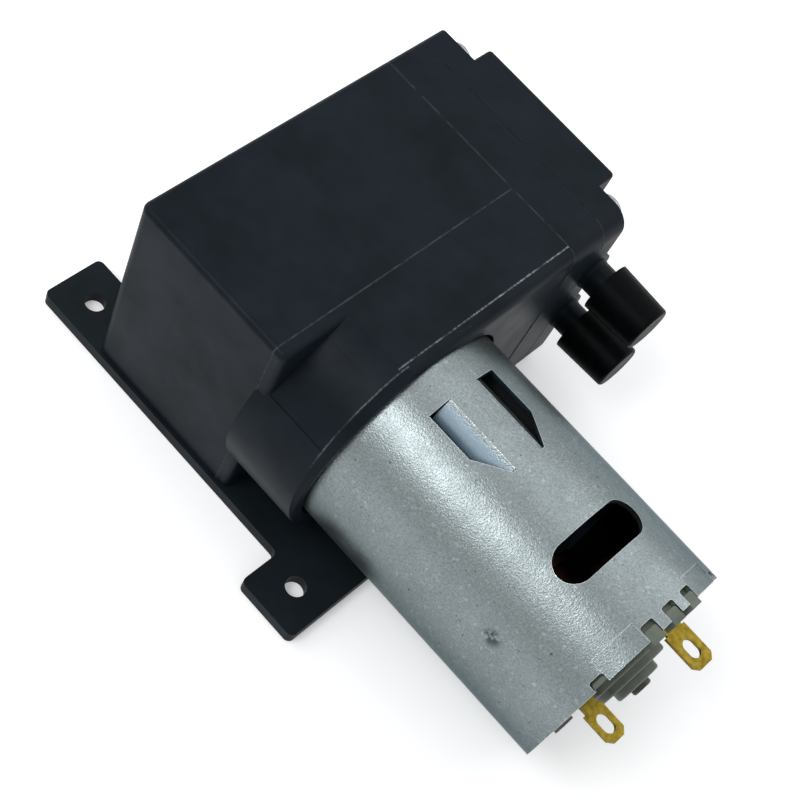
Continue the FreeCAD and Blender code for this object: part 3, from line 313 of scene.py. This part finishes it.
# %% Vinyl and rubber
def soft_black(name, dark, light, rough, shine, sheen):
    material, tree, shader, place = new_finish(name)
    dust = add(
        tree,
        "ShaderNodeTexNoise",
        [(0, place), ("Scale", PER_MM / 2.5), ("Detail", 4.0), ("Roughness", 0.7)],
    ).outputs[0]
    dimples = add(
        tree, "ShaderNodeTexNoise", [(0, place), ("Scale", PER_MM / 0.8), ("Detail", 3.0)]
    )
    tone = add(tree, "ShaderNodeValToRGB", [(0, dust)], [(0.35, dark), (0.75, light)])
    gloss = add(
        tree,
        "ShaderNodeMapRange",
        [(0, dust), (1, 0.3), (2, 0.7), (3, rough - 0.05), (4, rough + 0.1)],
    )
    relief = add(
        tree,
        "ShaderNodeBump",
        [("Strength", 0.4), ("Distance", 0.03 * MM), ("Height", dimples.outputs[0])],
    )
    tree.links.new(tone.outputs[0], shader.inputs["Base Color"])
    tree.links.new(gloss.outputs[0], shader.inputs["Roughness"])
    tree.links.new(relief.outputs[0], shader.inputs["Normal"])
    shader.inputs["IOR"].default_value = 1.5
    shader.inputs["Specular IOR Level"].default_value = shine
    shader.inputs["Sheen Weight"].default_value = sheen
    return material


cap_vinyl = soft_black("dipped_vinyl", "#020405", "#070a0c", 0.4, 0.04, 0.0)
moulded_rubber = soft_black("moulded_rubber", "#0e0f10", "#191a1b", 0.7, 0.2, 0.15)
dress(["inlet_cap", "outlet_cap"], cap_vinyl)
dress(["diaphragm", "inlet_valve", "outlet_valve", "head_gasket"], moulded_rubber)

# %% [markdown]
# ## Zinc-plated steel for the motor can
# The can is deep drawn from zinc-plated sheet. The plating has a sandy crystal grain that
# sparkles where it faces the lamp, and a few dark specks of dirt; small pale cells are also
# painted into its colour as glints. The grain is about 0.1 mm; it is drawn at 0.27 mm, so
# that it shows. The screws have the same plating, paler and cleaner.

# %% Zinc plate
def zinc_plate(name, dark, light, grain_mm, rough):
    material, tree, shader, place = new_finish(name)
    grain = add(
        tree,
        "ShaderNodeTexNoise",
        [(0, place), ("Scale", PER_MM / grain_mm), ("Detail", 2.0), ("Roughness", 0.55)],
    ).outputs[0]
    patches = add(
        tree,
        "ShaderNodeTexNoise",
        [(0, place), ("Scale", PER_MM / 5.0), ("Detail", 5.0), ("Roughness", 0.65)],
    ).outputs[0]
    dirt = add(
        tree,
        "ShaderNodeTexNoise",
        [(0, place), ("Scale", PER_MM / 0.7), ("Detail", 3.0), ("Roughness", 0.7)],
    ).outputs[0]
    glint_cells = add(
        tree,
        "ShaderNodeTexVoronoi",
        [(0, place), ("Scale", PER_MM / (1.6 * grain_mm))],
    ).outputs["Color"]
    tone = add(tree, "ShaderNodeValToRGB", [(0, grain)], [(0.3, dark), (0.7, light)]).outputs[0]
    cloud = add(
        tree, "ShaderNodeMapRange", [(0, patches), (1, 0.3), (2, 0.7), (3, 0.93), (4, 1.05)]
    )
    clouded = add(
        tree,
        "ShaderNodeMix",
        [("Factor", 1.0), (6, tone), (7, cloud.outputs[0])],
        data_type="RGBA",
        blend_type="MULTIPLY",
    ).outputs[2]
    # Small pale cells are painted into the colour as glints; they also raise the bump
    glints = add(tree, "ShaderNodeMapRange", [(0, glint_cells), (1, 0.8), (2, 1.0), (3, 0.0), (4, 0.4)])
    glint_painted = add(
        tree,
        "ShaderNodeMix",
        [("Factor", glints.outputs[0]), (6, clouded), (7, linear("#b4bdc2"))],
        data_type="RGBA",
    ).outputs[2]
    speck = add(tree, "ShaderNodeMapRange", [(0, dirt), (1, 0.66), (2, 0.7), (3, 0.0), (4, 0.7)])
    specked = add(
        tree,
        "ShaderNodeMix",
        [("Factor", speck.outputs[0]), (6, glint_painted), (7, linear("#34393b"))],
        data_type="RGBA",
    ).outputs[2]
    gloss = add(
        tree,
        "ShaderNodeMapRange",
        [(0, patches), (1, 0.3), (2, 0.7), (3, rough + 0.05), (4, rough - 0.05)],
    )
    height = add(tree, "ShaderNodeMath", [(0, grain), (1, glints.outputs[0])], operation="ADD")
    relief = add(
        tree,
        "ShaderNodeBump",
        [("Strength", 1.0), ("Distance", 0.042 * MM), ("Height", height.outputs[0])],
    )
    tree.links.new(specked, shader.inputs["Base Color"])
    tree.links.new(gloss.outputs[0], shader.inputs["Roughness"])
    tree.links.new(relief.outputs[0], shader.inputs["Normal"])
    shader.inputs["Metallic"].default_value = 1.0
    return material, tree, shader, place, specked


can_zinc, tree, shader, place, plate_tone = zinc_plate(
    "zinc_plated_can", "#6e7678", "#868f90", 0.27, 0.32
)
# The dull film on the plating takes the brightness off the can where it turns away
shader.inputs["Specular Tint"].default_value = linear("#a9b0b3")
screw_zinc = zinc_plate("zinc_plated_screws", "#83878a", "#a5a9ac", 0.3, 0.34)[0]
dress(["motor_can"], can_zinc)
dress(
    ["plate_screws", "case_screws", "motor_screws", "head_screws", "diaphragm_screw", "set_screw"],
    screw_zinc,
)

# %% [markdown]
# ## Blue tongues, highlighted cuts and painted shade inside
# The two tongues that are bent inwards are tinted bluer than the rest, the more so the
# deeper they lie below the outside of the can. The faces cut through the sheet are bare
# steel, drawn brighter as a painted highlight, and the inside of the can is painted dark as
# shade. The distance from the motor's axis tells these apart from the outside, and the
# place along the motor tells the louvres from the open end.

# %% Blue tongues, highlighted cuts and painted shade inside
can_r = 17.9 * MM
sheet_t = 1.0 * MM
louvre_end_x = 50.0 * MM
open_end_x = 49.0 * MM
from_axis = add(
    tree, "ShaderNodeVectorMath", [(0, place), (1, (0.0, 0.0, axis_z))], operation="SUBTRACT"
)
across = add(
    tree,
    "ShaderNodeVectorMath",
    [(0, from_axis.outputs[0]), (1, (0.0, 1.0, 1.0))],
    operation="MULTIPLY",
)
radius = add(
    tree, "ShaderNodeVectorMath", [(0, across.outputs[0])], operation="LENGTH"
).outputs["Value"]
along = add(tree, "ShaderNodeSeparateXYZ", [(0, place)]).outputs[0]
by_louvres = add(
    tree, "ShaderNodeMath", [(0, along), (1, louvre_end_x)], operation="LESS_THAN"
).outputs[0]
by_rim = add(
    tree, "ShaderNodeMath", [(0, along), (1, open_end_x)], operation="GREATER_THAN"
).outputs[0]
below = add(
    tree,
    "ShaderNodeMapRange",
    [(0, radius), (1, can_r - 0.12 * sheet_t), (2, can_r - 0.5 * sheet_t), (3, 0.0), (4, 0.6)],
)
in_sheet = add(
    tree,
    "ShaderNodeMath",
    [(0, radius), (1, can_r - 0.6 * sheet_t), (2, 0.42 * sheet_t)],
    operation="COMPARE",
)
inner = add(
    tree, "ShaderNodeMath", [(0, radius), (1, can_r - 0.98 * sheet_t)], operation="LESS_THAN"
).outputs[0]
tongue = add(tree, "ShaderNodeMath", [(0, below.outputs[0]), (1, by_louvres)], operation="MULTIPLY")
cut_face = add(
    tree, "ShaderNodeMath", [(0, in_sheet.outputs[0]), (1, by_rim)], operation="MULTIPLY"
)
# The tongues are tinted bluer the deeper they lie below the outside
depth_tinted = add(
    tree,
    "ShaderNodeMix",
    [("Factor", tongue.outputs[0]), (6, plate_tone), (7, linear("#7f95a5"))],
    data_type="RGBA",
).outputs[2]
# Bare steel on the cut faces, drawn brighter as a painted highlight
cut_highlighted = add(
    tree,
    "ShaderNodeMix",
    [("Factor", cut_face.outputs[0]), (6, depth_tinted), (7, linear("#b9c1c4"))],
    data_type="RGBA",
).outputs[2]
# The inside of the can is painted dark as shade
inside_shade_mask = add(tree, "ShaderNodeMath", [(0, inner), (1, by_rim)], operation="MULTIPLY")
inside_shaded = add(
    tree,
    "ShaderNodeMix",
    [("Factor", inside_shade_mask.outputs[0]), (6, cut_highlighted), (7, linear("#3a3f42"))],
    data_type="RGBA",
).outputs[2]

# The tongues are smoother than the sandy outside
sand = next(n for n in tree.nodes if n.type == "BUMP")
smoother = add(
    tree, "ShaderNodeMapRange", [(0, tongue.outputs[0]), (1, 0.0), (2, 0.6), (3, 1.0), (4, 0.15)]
)
tree.links.new(smoother.outputs[0], sand.inputs["Strength"])
print("sheet from radius", can_r - sheet_t, "to", can_r)

# %% [markdown]
# ## A smear of grease
# Handling has left a small dark smear on the can near its open end. It is a round patch
# that fades at its rim, and noise breaks it into streaks.

# %% A smear of grease
smear_in = 0.7 * MM
smear_out = 1.7 * MM
smear_at = (52.26 * MM, -16.36 * MM, 27.56 * MM)
from_smear = add(tree, "ShaderNodeVectorMath", [(0, place), (1, smear_at)], operation="DISTANCE")
smear = add(
    tree,
    "ShaderNodeMapRange",
    [(0, from_smear.outputs["Value"]), (1, smear_in), (2, smear_out), (3, 1.0), (4, 0.0)],
)
streaks = add(
    tree, "ShaderNodeTexNoise", [(0, place), ("Scale", PER_MM / 0.9), ("Detail", 4.0)]
).outputs[0]
thick = add(tree, "ShaderNodeMapRange", [(0, streaks), (1, 0.42), (2, 0.54), (3, 0.0), (4, 0.9)])
greasy = add(
    tree, "ShaderNodeMath", [(0, smear.outputs[0]), (1, thick.outputs[0])], operation="MULTIPLY"
)
smeared = add(
    tree,
    "ShaderNodeMix",
    [("Factor", greasy.outputs[0]), (6, inside_shaded), (7, linear("#3d4344"))],
    data_type="RGBA",
).outputs[2]
print("smear at", smear_at, "out to", smear_out)

# %% [markdown]
# ## Painted highlights on the can's edges
# Along the edges cut for the louvres, the slot and the rim, a pale colour is painted in as a
# highlight, where a rounded edge would catch the light. A Bevel node gives the normal that
# the edge would have if it were rounded, and where that differs from the face's own normal,
# the piece has an edge.

# %% Painted edge highlights
edge_r = 0.16 * MM
rounded = add(tree, "ShaderNodeBevel", [("Radius", edge_r)], samples=6).outputs[0]
face_way = add(tree, "ShaderNodeNewGeometry").outputs["Normal"]
same_way = add(
    tree, "ShaderNodeVectorMath", [(0, rounded), (1, face_way)], operation="DOT_PRODUCT"
).outputs["Value"]
edge_highlight = add(tree, "ShaderNodeMapRange", [(0, same_way), (1, 0.97), (2, 0.8), (3, 0.0), (4, 0.9)])
# A pale colour is painted on the edges as a highlight
edge_highlighted = add(
    tree,
    "ShaderNodeMix",
    [("Factor", edge_highlight.outputs[0]), (6, smeared), (7, linear("#ced6d9"))],
    data_type="RGBA",
).outputs[2]
tree.links.new(edge_highlighted, shader.inputs["Base Color"])
print("bright edges", 2 * edge_r, "wide on", can_zinc.name)

# %% [markdown]
# ## The other metals
# Turned and rolled metals share one recipe: a base colour with small drifts, and fine
# noise as the marks of the tool. The terminals are brass strip, dulled to a yellow olive;
# the bushings are sintered bronze, dull and porous; the coils are enamelled copper, dark
# with varnish and darker still as painted shade of the can's inside; the commutator is
# brown from its brushes, and drawn darker as painted shade; and the core is a stack of thin
# steel sheets, drawn dark as painted shade, whose edges show as fine rings, so its noise is
# stretched round the shaft.

# %% Metals
def worked_metal(name, dark, light, rough, drift_mm=1.5, stretch=(1.0, 1.0, 1.0)):
    material, tree, shader, place = new_finish(name)
    drift = add(
        tree,
        "ShaderNodeTexNoise",
        [(0, place), ("Scale", PER_MM / drift_mm), ("Detail", 4.0), ("Roughness", 0.6)],
    ).outputs[0]
    along = add(tree, "ShaderNodeMapping", [(0, place), (3, stretch)]).outputs[0]
    marks = add(tree, "ShaderNodeTexNoise", [(0, along), ("Scale", PER_MM / 0.4), ("Detail", 2.0)])
    tone = add(tree, "ShaderNodeValToRGB", [(0, drift)], [(0.3, dark), (0.7, light)])
    gloss = add(
        tree,
        "ShaderNodeMapRange",
        [(0, drift), (1, 0.3), (2, 0.7), (3, rough - 0.06), (4, rough + 0.1)],
    )
    relief = add(
        tree,
        "ShaderNodeBump",
        [("Strength", 0.5), ("Distance", 0.01 * MM), ("Height", marks.outputs[0])],
    )
    tree.links.new(tone.outputs[0], shader.inputs["Base Color"])
    tree.links.new(gloss.outputs[0], shader.inputs["Roughness"])
    tree.links.new(relief.outputs[0], shader.inputs["Normal"])
    shader.inputs["Metallic"].default_value = 1.0
    return material


dull_brass = worked_metal("dull_brass_strip", "#5f5118", "#958132", 0.34, 0.8)
dark_brass = worked_metal("tarnished_brass", "#2a2413", "#3f371f", 0.5)
ground_steel = worked_metal("ground_steel", "#8d9091", "#b0b3b5", 0.25)
# The shaft's steel is drawn near black, as painted shade on its end
shade_dark_shaft_steel = worked_metal("shaft_steel_painted_shade_dark", "#2a2a29", "#4a4845", 0.35)
# The core is drawn dark as painted shade inside the can
shade_dark_core_steel = worked_metal("core_steel_painted_shade_dark", "#141516", "#222426", 0.5, 1.0, (12.0, 0.4, 0.4))
bronze = worked_metal("sintered_bronze", "#6c5330", "#8b6d42", 0.5, 0.6)
turned_brass = worked_metal("turned_brass", "#a58a45", "#c6aa62", 0.3)
# The coils and the commutator are drawn dark as painted shade inside the can
shade_dark_copper = worked_metal("copper_wire_painted_shade_dark", "#3a1a0e", "#572a17", 0.45)
shade_dark_commutator_copper = worked_metal("filmed_commutator_copper_painted_shade_dark", "#1c1410", "#2b1d15", 0.5)
turned_aluminium = worked_metal("turned_aluminium", "#a7a9ab", "#c3c5c7", 0.35)
dress(["terminals"], dull_brass)
dress(["brush_holders"], dark_brass)
dress(["shaft"], shade_dark_shaft_steel)
dress(["crank_bearing", "magnet_clip"], ground_steel)
dress(["armature_core"], shade_dark_core_steel)
dress(["front_bearing", "rear_bearing"], bronze)
dress(["eccentric"], turned_brass)
dress(["windings"], shade_dark_copper)
dress(["commutator_bars"], shade_dark_commutator_copper)
dress(["diaphragm_clamp"], turned_aluminium)

# %% [markdown]
# ## Wire on the armature
# Each of the three poles carries a coil of enamelled wire, wound turn beside turn. The
# solid of the coil gives its body, and loops of wire are laid half into its surface. They
# repeat, so a node tree makes them: one filleted loop, placed on a line of points that
# runs outwards along the pole and widening as the coil does, then turned round the shaft
# for each pole. The real wire is about 0.35 mm thick; it is drawn at 0.6 mm, so that the
# turns can be told apart.

# %% A node tree for the turns
turns_tree = bpy.data.node_groups.new("armature_turns", "GeometryNodeTree")
turns_tree.interface.new_socket("Geometry", in_out="OUTPUT", socket_type="NodeSocketGeometry")
socket_ids = {}
for label, kind in (
    ("Turns", "NodeSocketInt"),
    ("Poles", "NodeSocketInt"),
    ("Wire Radius", "NodeSocketFloat"),
    ("Loop Length", "NodeSocketFloat"),
    ("Loop Width", "NodeSocketFloat"),
    ("Widening", "NodeSocketFloat"),
    ("Corner Radius", "NodeSocketFloat"),
    ("First Turn", "NodeSocketVector"),
    ("Last Turn", "NodeSocketVector"),
    ("Middle", "NodeSocketVector"),
    ("Wire", "NodeSocketMaterial"),
):
    made = turns_tree.interface.new_socket(label, in_out="INPUT", socket_type=kind)
    socket_ids[label] = made.identifier
given = add(turns_tree, "NodeGroupInput").outputs
rectangle = add(
    turns_tree,
    "GeometryNodeCurvePrimitiveQuadrilateral",
    [("Width", given["Loop Length"]), ("Height", given["Loop Width"])],
)
loop = add(
    turns_tree,
    "GeometryNodeFilletCurve",
    [("Curve", rectangle.outputs[0]), ("Radius", given["Corner Radius"]), ("Count", 5)],
    mode="POLY",
)
upright = add(
    turns_tree,
    "GeometryNodeTransform",
    [("Geometry", loop.outputs[0]), ("Rotation", (QUARTER_TURN, 0.0, 0.0))],
)
row = add(
    turns_tree,
    "GeometryNodeMeshLine",
    [
        ("Count", given["Turns"]),
        ("Start Location", given["First Turn"]),
        ("Offset", given["Last Turn"]),
    ],
    mode="END_POINTS",
)
turn_number = add(turns_tree, "GeometryNodeInputIndex").outputs[0]
last_number = add(
    turns_tree, "ShaderNodeMath", [(0, given["Turns"]), (1, 1.0)], operation="SUBTRACT"
).outputs[0]
wider = add(
    turns_tree,
    "ShaderNodeMapRange",
    [(0, turn_number), (1, 0.0), (2, last_number), (3, 1.0), (4, given["Widening"])],
)
stretch = add(turns_tree, "ShaderNodeCombineXYZ", [(0, 1.0), (1, 1.0), (2, wider.outputs[0])])
laid = add(
    turns_tree,
    "GeometryNodeInstanceOnPoints",
    [("Points", row.outputs[0]), ("Instance", upright.outputs[0]), ("Scale", stretch.outputs[0])],
)
loops = add(turns_tree, "GeometryNodeRealizeInstances", [(0, laid.outputs[0])])
round_wire = add(
    turns_tree,
    "GeometryNodeCurvePrimitiveCircle",
    [("Resolution", 8), ("Radius", given["Wire Radius"])],
)
wires = add(
    turns_tree,
    "GeometryNodeCurveToMesh",
    [("Curve", loops.outputs[0]), ("Profile Curve", round_wire.outputs[0])],
)
pole_points = add(
    turns_tree, "GeometryNodeMeshLine", [("Count", given["Poles"]), ("Offset", (0.0, 0.0, 0.0))]
)
pole_step = add(
    turns_tree, "ShaderNodeMath", [(0, FULL_TURN), (1, given["Poles"])], operation="DIVIDE"
)
pole_angle = add(
    turns_tree,
    "ShaderNodeMath",
    [(0, turn_number), (1, pole_step.outputs[0])],
    operation="MULTIPLY",
)
pole_turn = add(turns_tree, "ShaderNodeCombineXYZ", [(0, pole_angle.outputs[0])])
on_poles = add(
    turns_tree,
    "GeometryNodeInstanceOnPoints",
    [
        ("Points", pole_points.outputs[0]),
        ("Instance", wires.outputs[0]),
        ("Rotation", pole_turn.outputs[0]),
    ],
)
in_place = add(
    turns_tree,
    "GeometryNodeTransform",
    [("Geometry", on_poles.outputs[0]), ("Translation", given["Middle"])],
)
plain = add(turns_tree, "GeometryNodeRealizeInstances", [(0, in_place.outputs[0])])
coated = add(
    turns_tree,
    "GeometryNodeSetMaterial",
    [("Geometry", plain.outputs[0]), ("Material", given["Wire"])],
)
add(turns_tree, "NodeGroupOutput", [(0, coated.outputs[0])])
print(turns_tree.name, "takes", ", ".join(socket_ids))

# %% Wind the armature
coil_low, coil_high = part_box("windings")
wire_r = 0.3 * MM
sunk = 0.15 * MM
first_r = 5.8 * MM
last_r = 9.0 * MM
corner_r = 1.2 * MM
# The coil's solid widens from its inner radius to its outer one
coil_in_r = 5.4 * MM
coil_out_r = 10.2 * MM
inner_half_w = 4.4 * MM
outer_half_w = 7.2 * MM
slope = (outer_half_w - inner_half_w) / (coil_out_r - coil_in_r)
first_half = inner_half_w + slope * (first_r - coil_in_r) - sunk
last_half = inner_half_w + slope * (last_r - coil_in_r) - sunk
wire_object = bpy.data.objects.new("armature_wire", bpy.data.meshes.new("armature_wire"))
bpy.context.collection.objects.link(wire_object)
winder = wire_object.modifiers.new("winder", "NODES")
winder.node_group = turns_tree
# The wire takes the copper that is drawn dark as painted shade of the can's inside
for label, value in (
    ("Turns", 6),
    ("Poles", 3),
    ("Wire Radius", wire_r),
    ("Loop Length", coil_high[0] - coil_low[0] - 2 * sunk),
    ("Loop Width", 2 * first_half),
    ("Widening", last_half / first_half),
    ("Corner Radius", corner_r),
    ("First Turn", (0.0, first_r, 0.0)),
    ("Last Turn", (0.0, last_r, 0.0)),
    ("Middle", ((coil_low[0] + coil_high[0]) / 2, 0.0, axis_z)),
    ("Wire", shade_dark_copper),
):
    winder[socket_ids[label]] = value
wound = wire_object.evaluated_get(bpy.context.evaluated_depsgraph_get())
wire_mesh = bpy.data.meshes.new_from_object(wound)
wire_object.modifiers.remove(winder)
wire_object.data = wire_mesh
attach(wire_object, "rotor")
print("wire faces", len(wire_mesh.polygons))

# %% [markdown]
# ## Other plastics, carbon and magnets
# The end bell is moulded in grey, glass-filled nylon, which looks a little cloudy. The rod
# is white acetal, a waxy plastic that slides well. The brush card is brown phenolic
# laminate, the brushes are pressed carbon with a soft grey sheen, and the magnets are
# ferrite, a dark ceramic with a dull face.

# %% Plastics and ceramics
bell_nylon = moulded_abs("glass_filled_nylon", "#474e44", "#626a5e", 0.4, 0.45, 0.4, 4.0)[0]
rod_acetal = moulded_abs("white_acetal", "#cfccc0", "#dedbd0", 0.5, 0.4, 0.5)[0]
card_laminate = moulded_abs("phenolic_laminate", "#120c08", "#1c130c", 0.6, 0.5, 0.2)[0]
carbon = moulded_abs("pressed_carbon", "#141415", "#202021", 0.4, 0.45, 0.4)[0]
magnet_ferrite = moulded_abs("ferrite", "#151617", "#1f2021", 0.5, 0.6, 0.2)[0]
dress(["end_bell"], bell_nylon)
dress(["connecting_rod"], rod_acetal)
dress(["brush_card", "commutator_hub", "shaft_washers"], card_laminate)
dress(["brushes"], carbon)
dress(["magnets"], magnet_ferrite)

# %% [markdown]
# ## A white paper floor
# A sheet of white paper catches the soft shadow. It glows faintly to the camera and in
# reflections, and more so far away, where a low view would see it turn grey.

# %% Floor
half = 1.0
floor_gap = 0.2 * MM
floor_z = cad_bounds[0][2] - floor_gap
floor_mesh = bpy.data.meshes.new("floor")
floor_mesh.from_pydata(
    [
        (-half, -half, floor_z),
        (half, -half, floor_z),
        (half, half, floor_z),
        (-half, half, floor_z),
    ],
    [],
    [(0, 1, 2, 3)],
)
floor = bpy.data.objects.new("floor", floor_mesh)
bpy.context.collection.objects.link(floor)
floor_paper, tree, shader, place = new_finish("white_floor_paper")
fibre = add(tree, "ShaderNodeTexNoise", [(0, place), ("Scale", PER_MM / 40.0)])
paper = add(
    tree, "ShaderNodeValToRGB", [(0, fibre.outputs[0])], [(0.0, "#fbfbfb"), (1.0, "#ffffff")]
)
path = add(tree, "ShaderNodeLightPath")
seen = add(
    tree,
    "ShaderNodeMath",
    [(0, path.outputs["Is Camera Ray"]), (1, path.outputs["Is Glossy Ray"])],
    operation="MAXIMUM",
)
near_paper = 0.12
far_paper = 0.35
away = add(tree, "ShaderNodeVectorMath", [(0, place)], operation="LENGTH").outputs["Value"]
fade = add(
    tree, "ShaderNodeMapRange", [(0, away), (1, near_paper), (2, far_paper), (3, 0.3), (4, 1.0)]
)
glow = add(
    tree, "ShaderNodeMath", [(0, seen.outputs[0]), (1, fade.outputs[0])], operation="MULTIPLY"
)
tree.links.new(paper.outputs[0], shader.inputs["Base Color"])
tree.links.new(paper.outputs[0], shader.inputs["Emission Color"])
tree.links.new(glow.outputs[0], shader.inputs["Emission Strength"])
shader.inputs["Roughness"].default_value = 0.9
shader.inputs["Specular IOR Level"].default_value = 0.0
floor_mesh.materials.append(floor_paper)
print("floor at", floor_z)

# %% [markdown]
# ## A plain white world
# To the camera and in reflections the world is plain white, while the light that it gives
# the part stays at a plain level, so that a colour looks about as it is written.

# %% World
world = bpy.data.worlds.new("studio")
bpy.context.scene.world = world
world.use_nodes = True
tree = world.node_tree
tree.nodes.clear()
path = add(tree, "ShaderNodeLightPath")
seen = add(
    tree,
    "ShaderNodeMath",
    [(0, path.outputs["Is Camera Ray"]), (1, path.outputs["Is Transmission Ray"])],
    operation="MAXIMUM",
)
white_rays = add(
    tree,
    "ShaderNodeMath",
    [(0, seen.outputs[0]), (1, path.outputs["Is Glossy Ray"])],
    operation="MAXIMUM",
)
soft_light = add(tree, "ShaderNodeBackground", [("Color", linear("#f4f7fa")), ("Strength", 0.55)])
white = add(tree, "ShaderNodeBackground", [("Color", (1, 1, 1, 1)), ("Strength", 1.0)])
both = add(
    tree,
    "ShaderNodeMixShader",
    [(0, white_rays.outputs[0]), (1, soft_light.outputs[0]), (2, white.outputs[0])],
)
add(tree, "ShaderNodeOutputWorld", [(0, both.outputs[0])])
print(world.name, "has", len(tree.nodes), "nodes")

# %% [markdown]
# ## Lamps
# Metal shows its shape by the lamps that it mirrors. The key lamp stands above and behind
# the camera and draws the bright band along the can. A wide, weak one above the head
# lifts the can's far side, and two more soften the shadows.

# %% Lamps
def area_lamp(name, place, aim, size, power):
    lamp = bpy.data.lights.new(name, "AREA")
    lamp.shape = "RECTANGLE"
    lamp.size, lamp.size_y = size
    lamp.energy = power
    lamp_object = bpy.data.objects.new(name, lamp)
    direction = Vector(aim) - Vector(place)
    turn = direction.to_track_quat("-Z", "Y").to_matrix().to_4x4()
    lamp_object.matrix_world = Matrix.Translation(place) @ turn
    bpy.context.collection.objects.link(lamp_object)
    print(name, "at", place, "of", power, "W")


middle = (0.03, 0.0, 0.025)
area_lamp("key", (-0.13, -0.33, 0.52), middle, (0.26, 0.24), 1.25)
area_lamp("fill", (-0.45, -0.1, 0.35), middle, (0.4, 0.4), 0.7)
area_lamp("back", (0.2, 0.45, 0.35), middle, (0.4, 0.3), 0.5)
area_lamp("top", (-0.02, 0.22, 0.52), middle, (0.3, 0.4), 0.34)

# %% [markdown]
# ## Camera
# The camera stands where the photo was taken from: its place and turn were worked out
# from measured edges of the body, the plate and the motor. Each row below is one camera
# axis in the frame of the part: to the right, down and ahead.

# %% Camera
camera_right = Vector((0.670462, 0.682734, 0.290438))
camera_down = Vector((0.719667, -0.50323, -0.478371))
camera_ahead = Vector((-0.180443, 0.529748, -0.828738))
camera_place = Vector((63.26, -130.959, 229.972)) * MM
focal_pixels = 1755.7
image_pixels = 800

camera = bpy.data.cameras.new("camera")
camera.sensor_width = 36.0
camera.lens = focal_pixels * camera.sensor_width / image_pixels
camera.clip_start = 0.01
camera_object = bpy.data.objects.new("camera", camera)
turn = Matrix((camera_right, -camera_down, -camera_ahead)).transposed().to_4x4()
camera_object.matrix_world = Matrix.Translation(camera_place) @ turn
bpy.context.collection.objects.link(camera_object)
bpy.context.scene.camera = camera_object
bpy.context.scene.view_settings.view_transform = "Standard"
print("lens", round(camera.lens, 2), "mm")
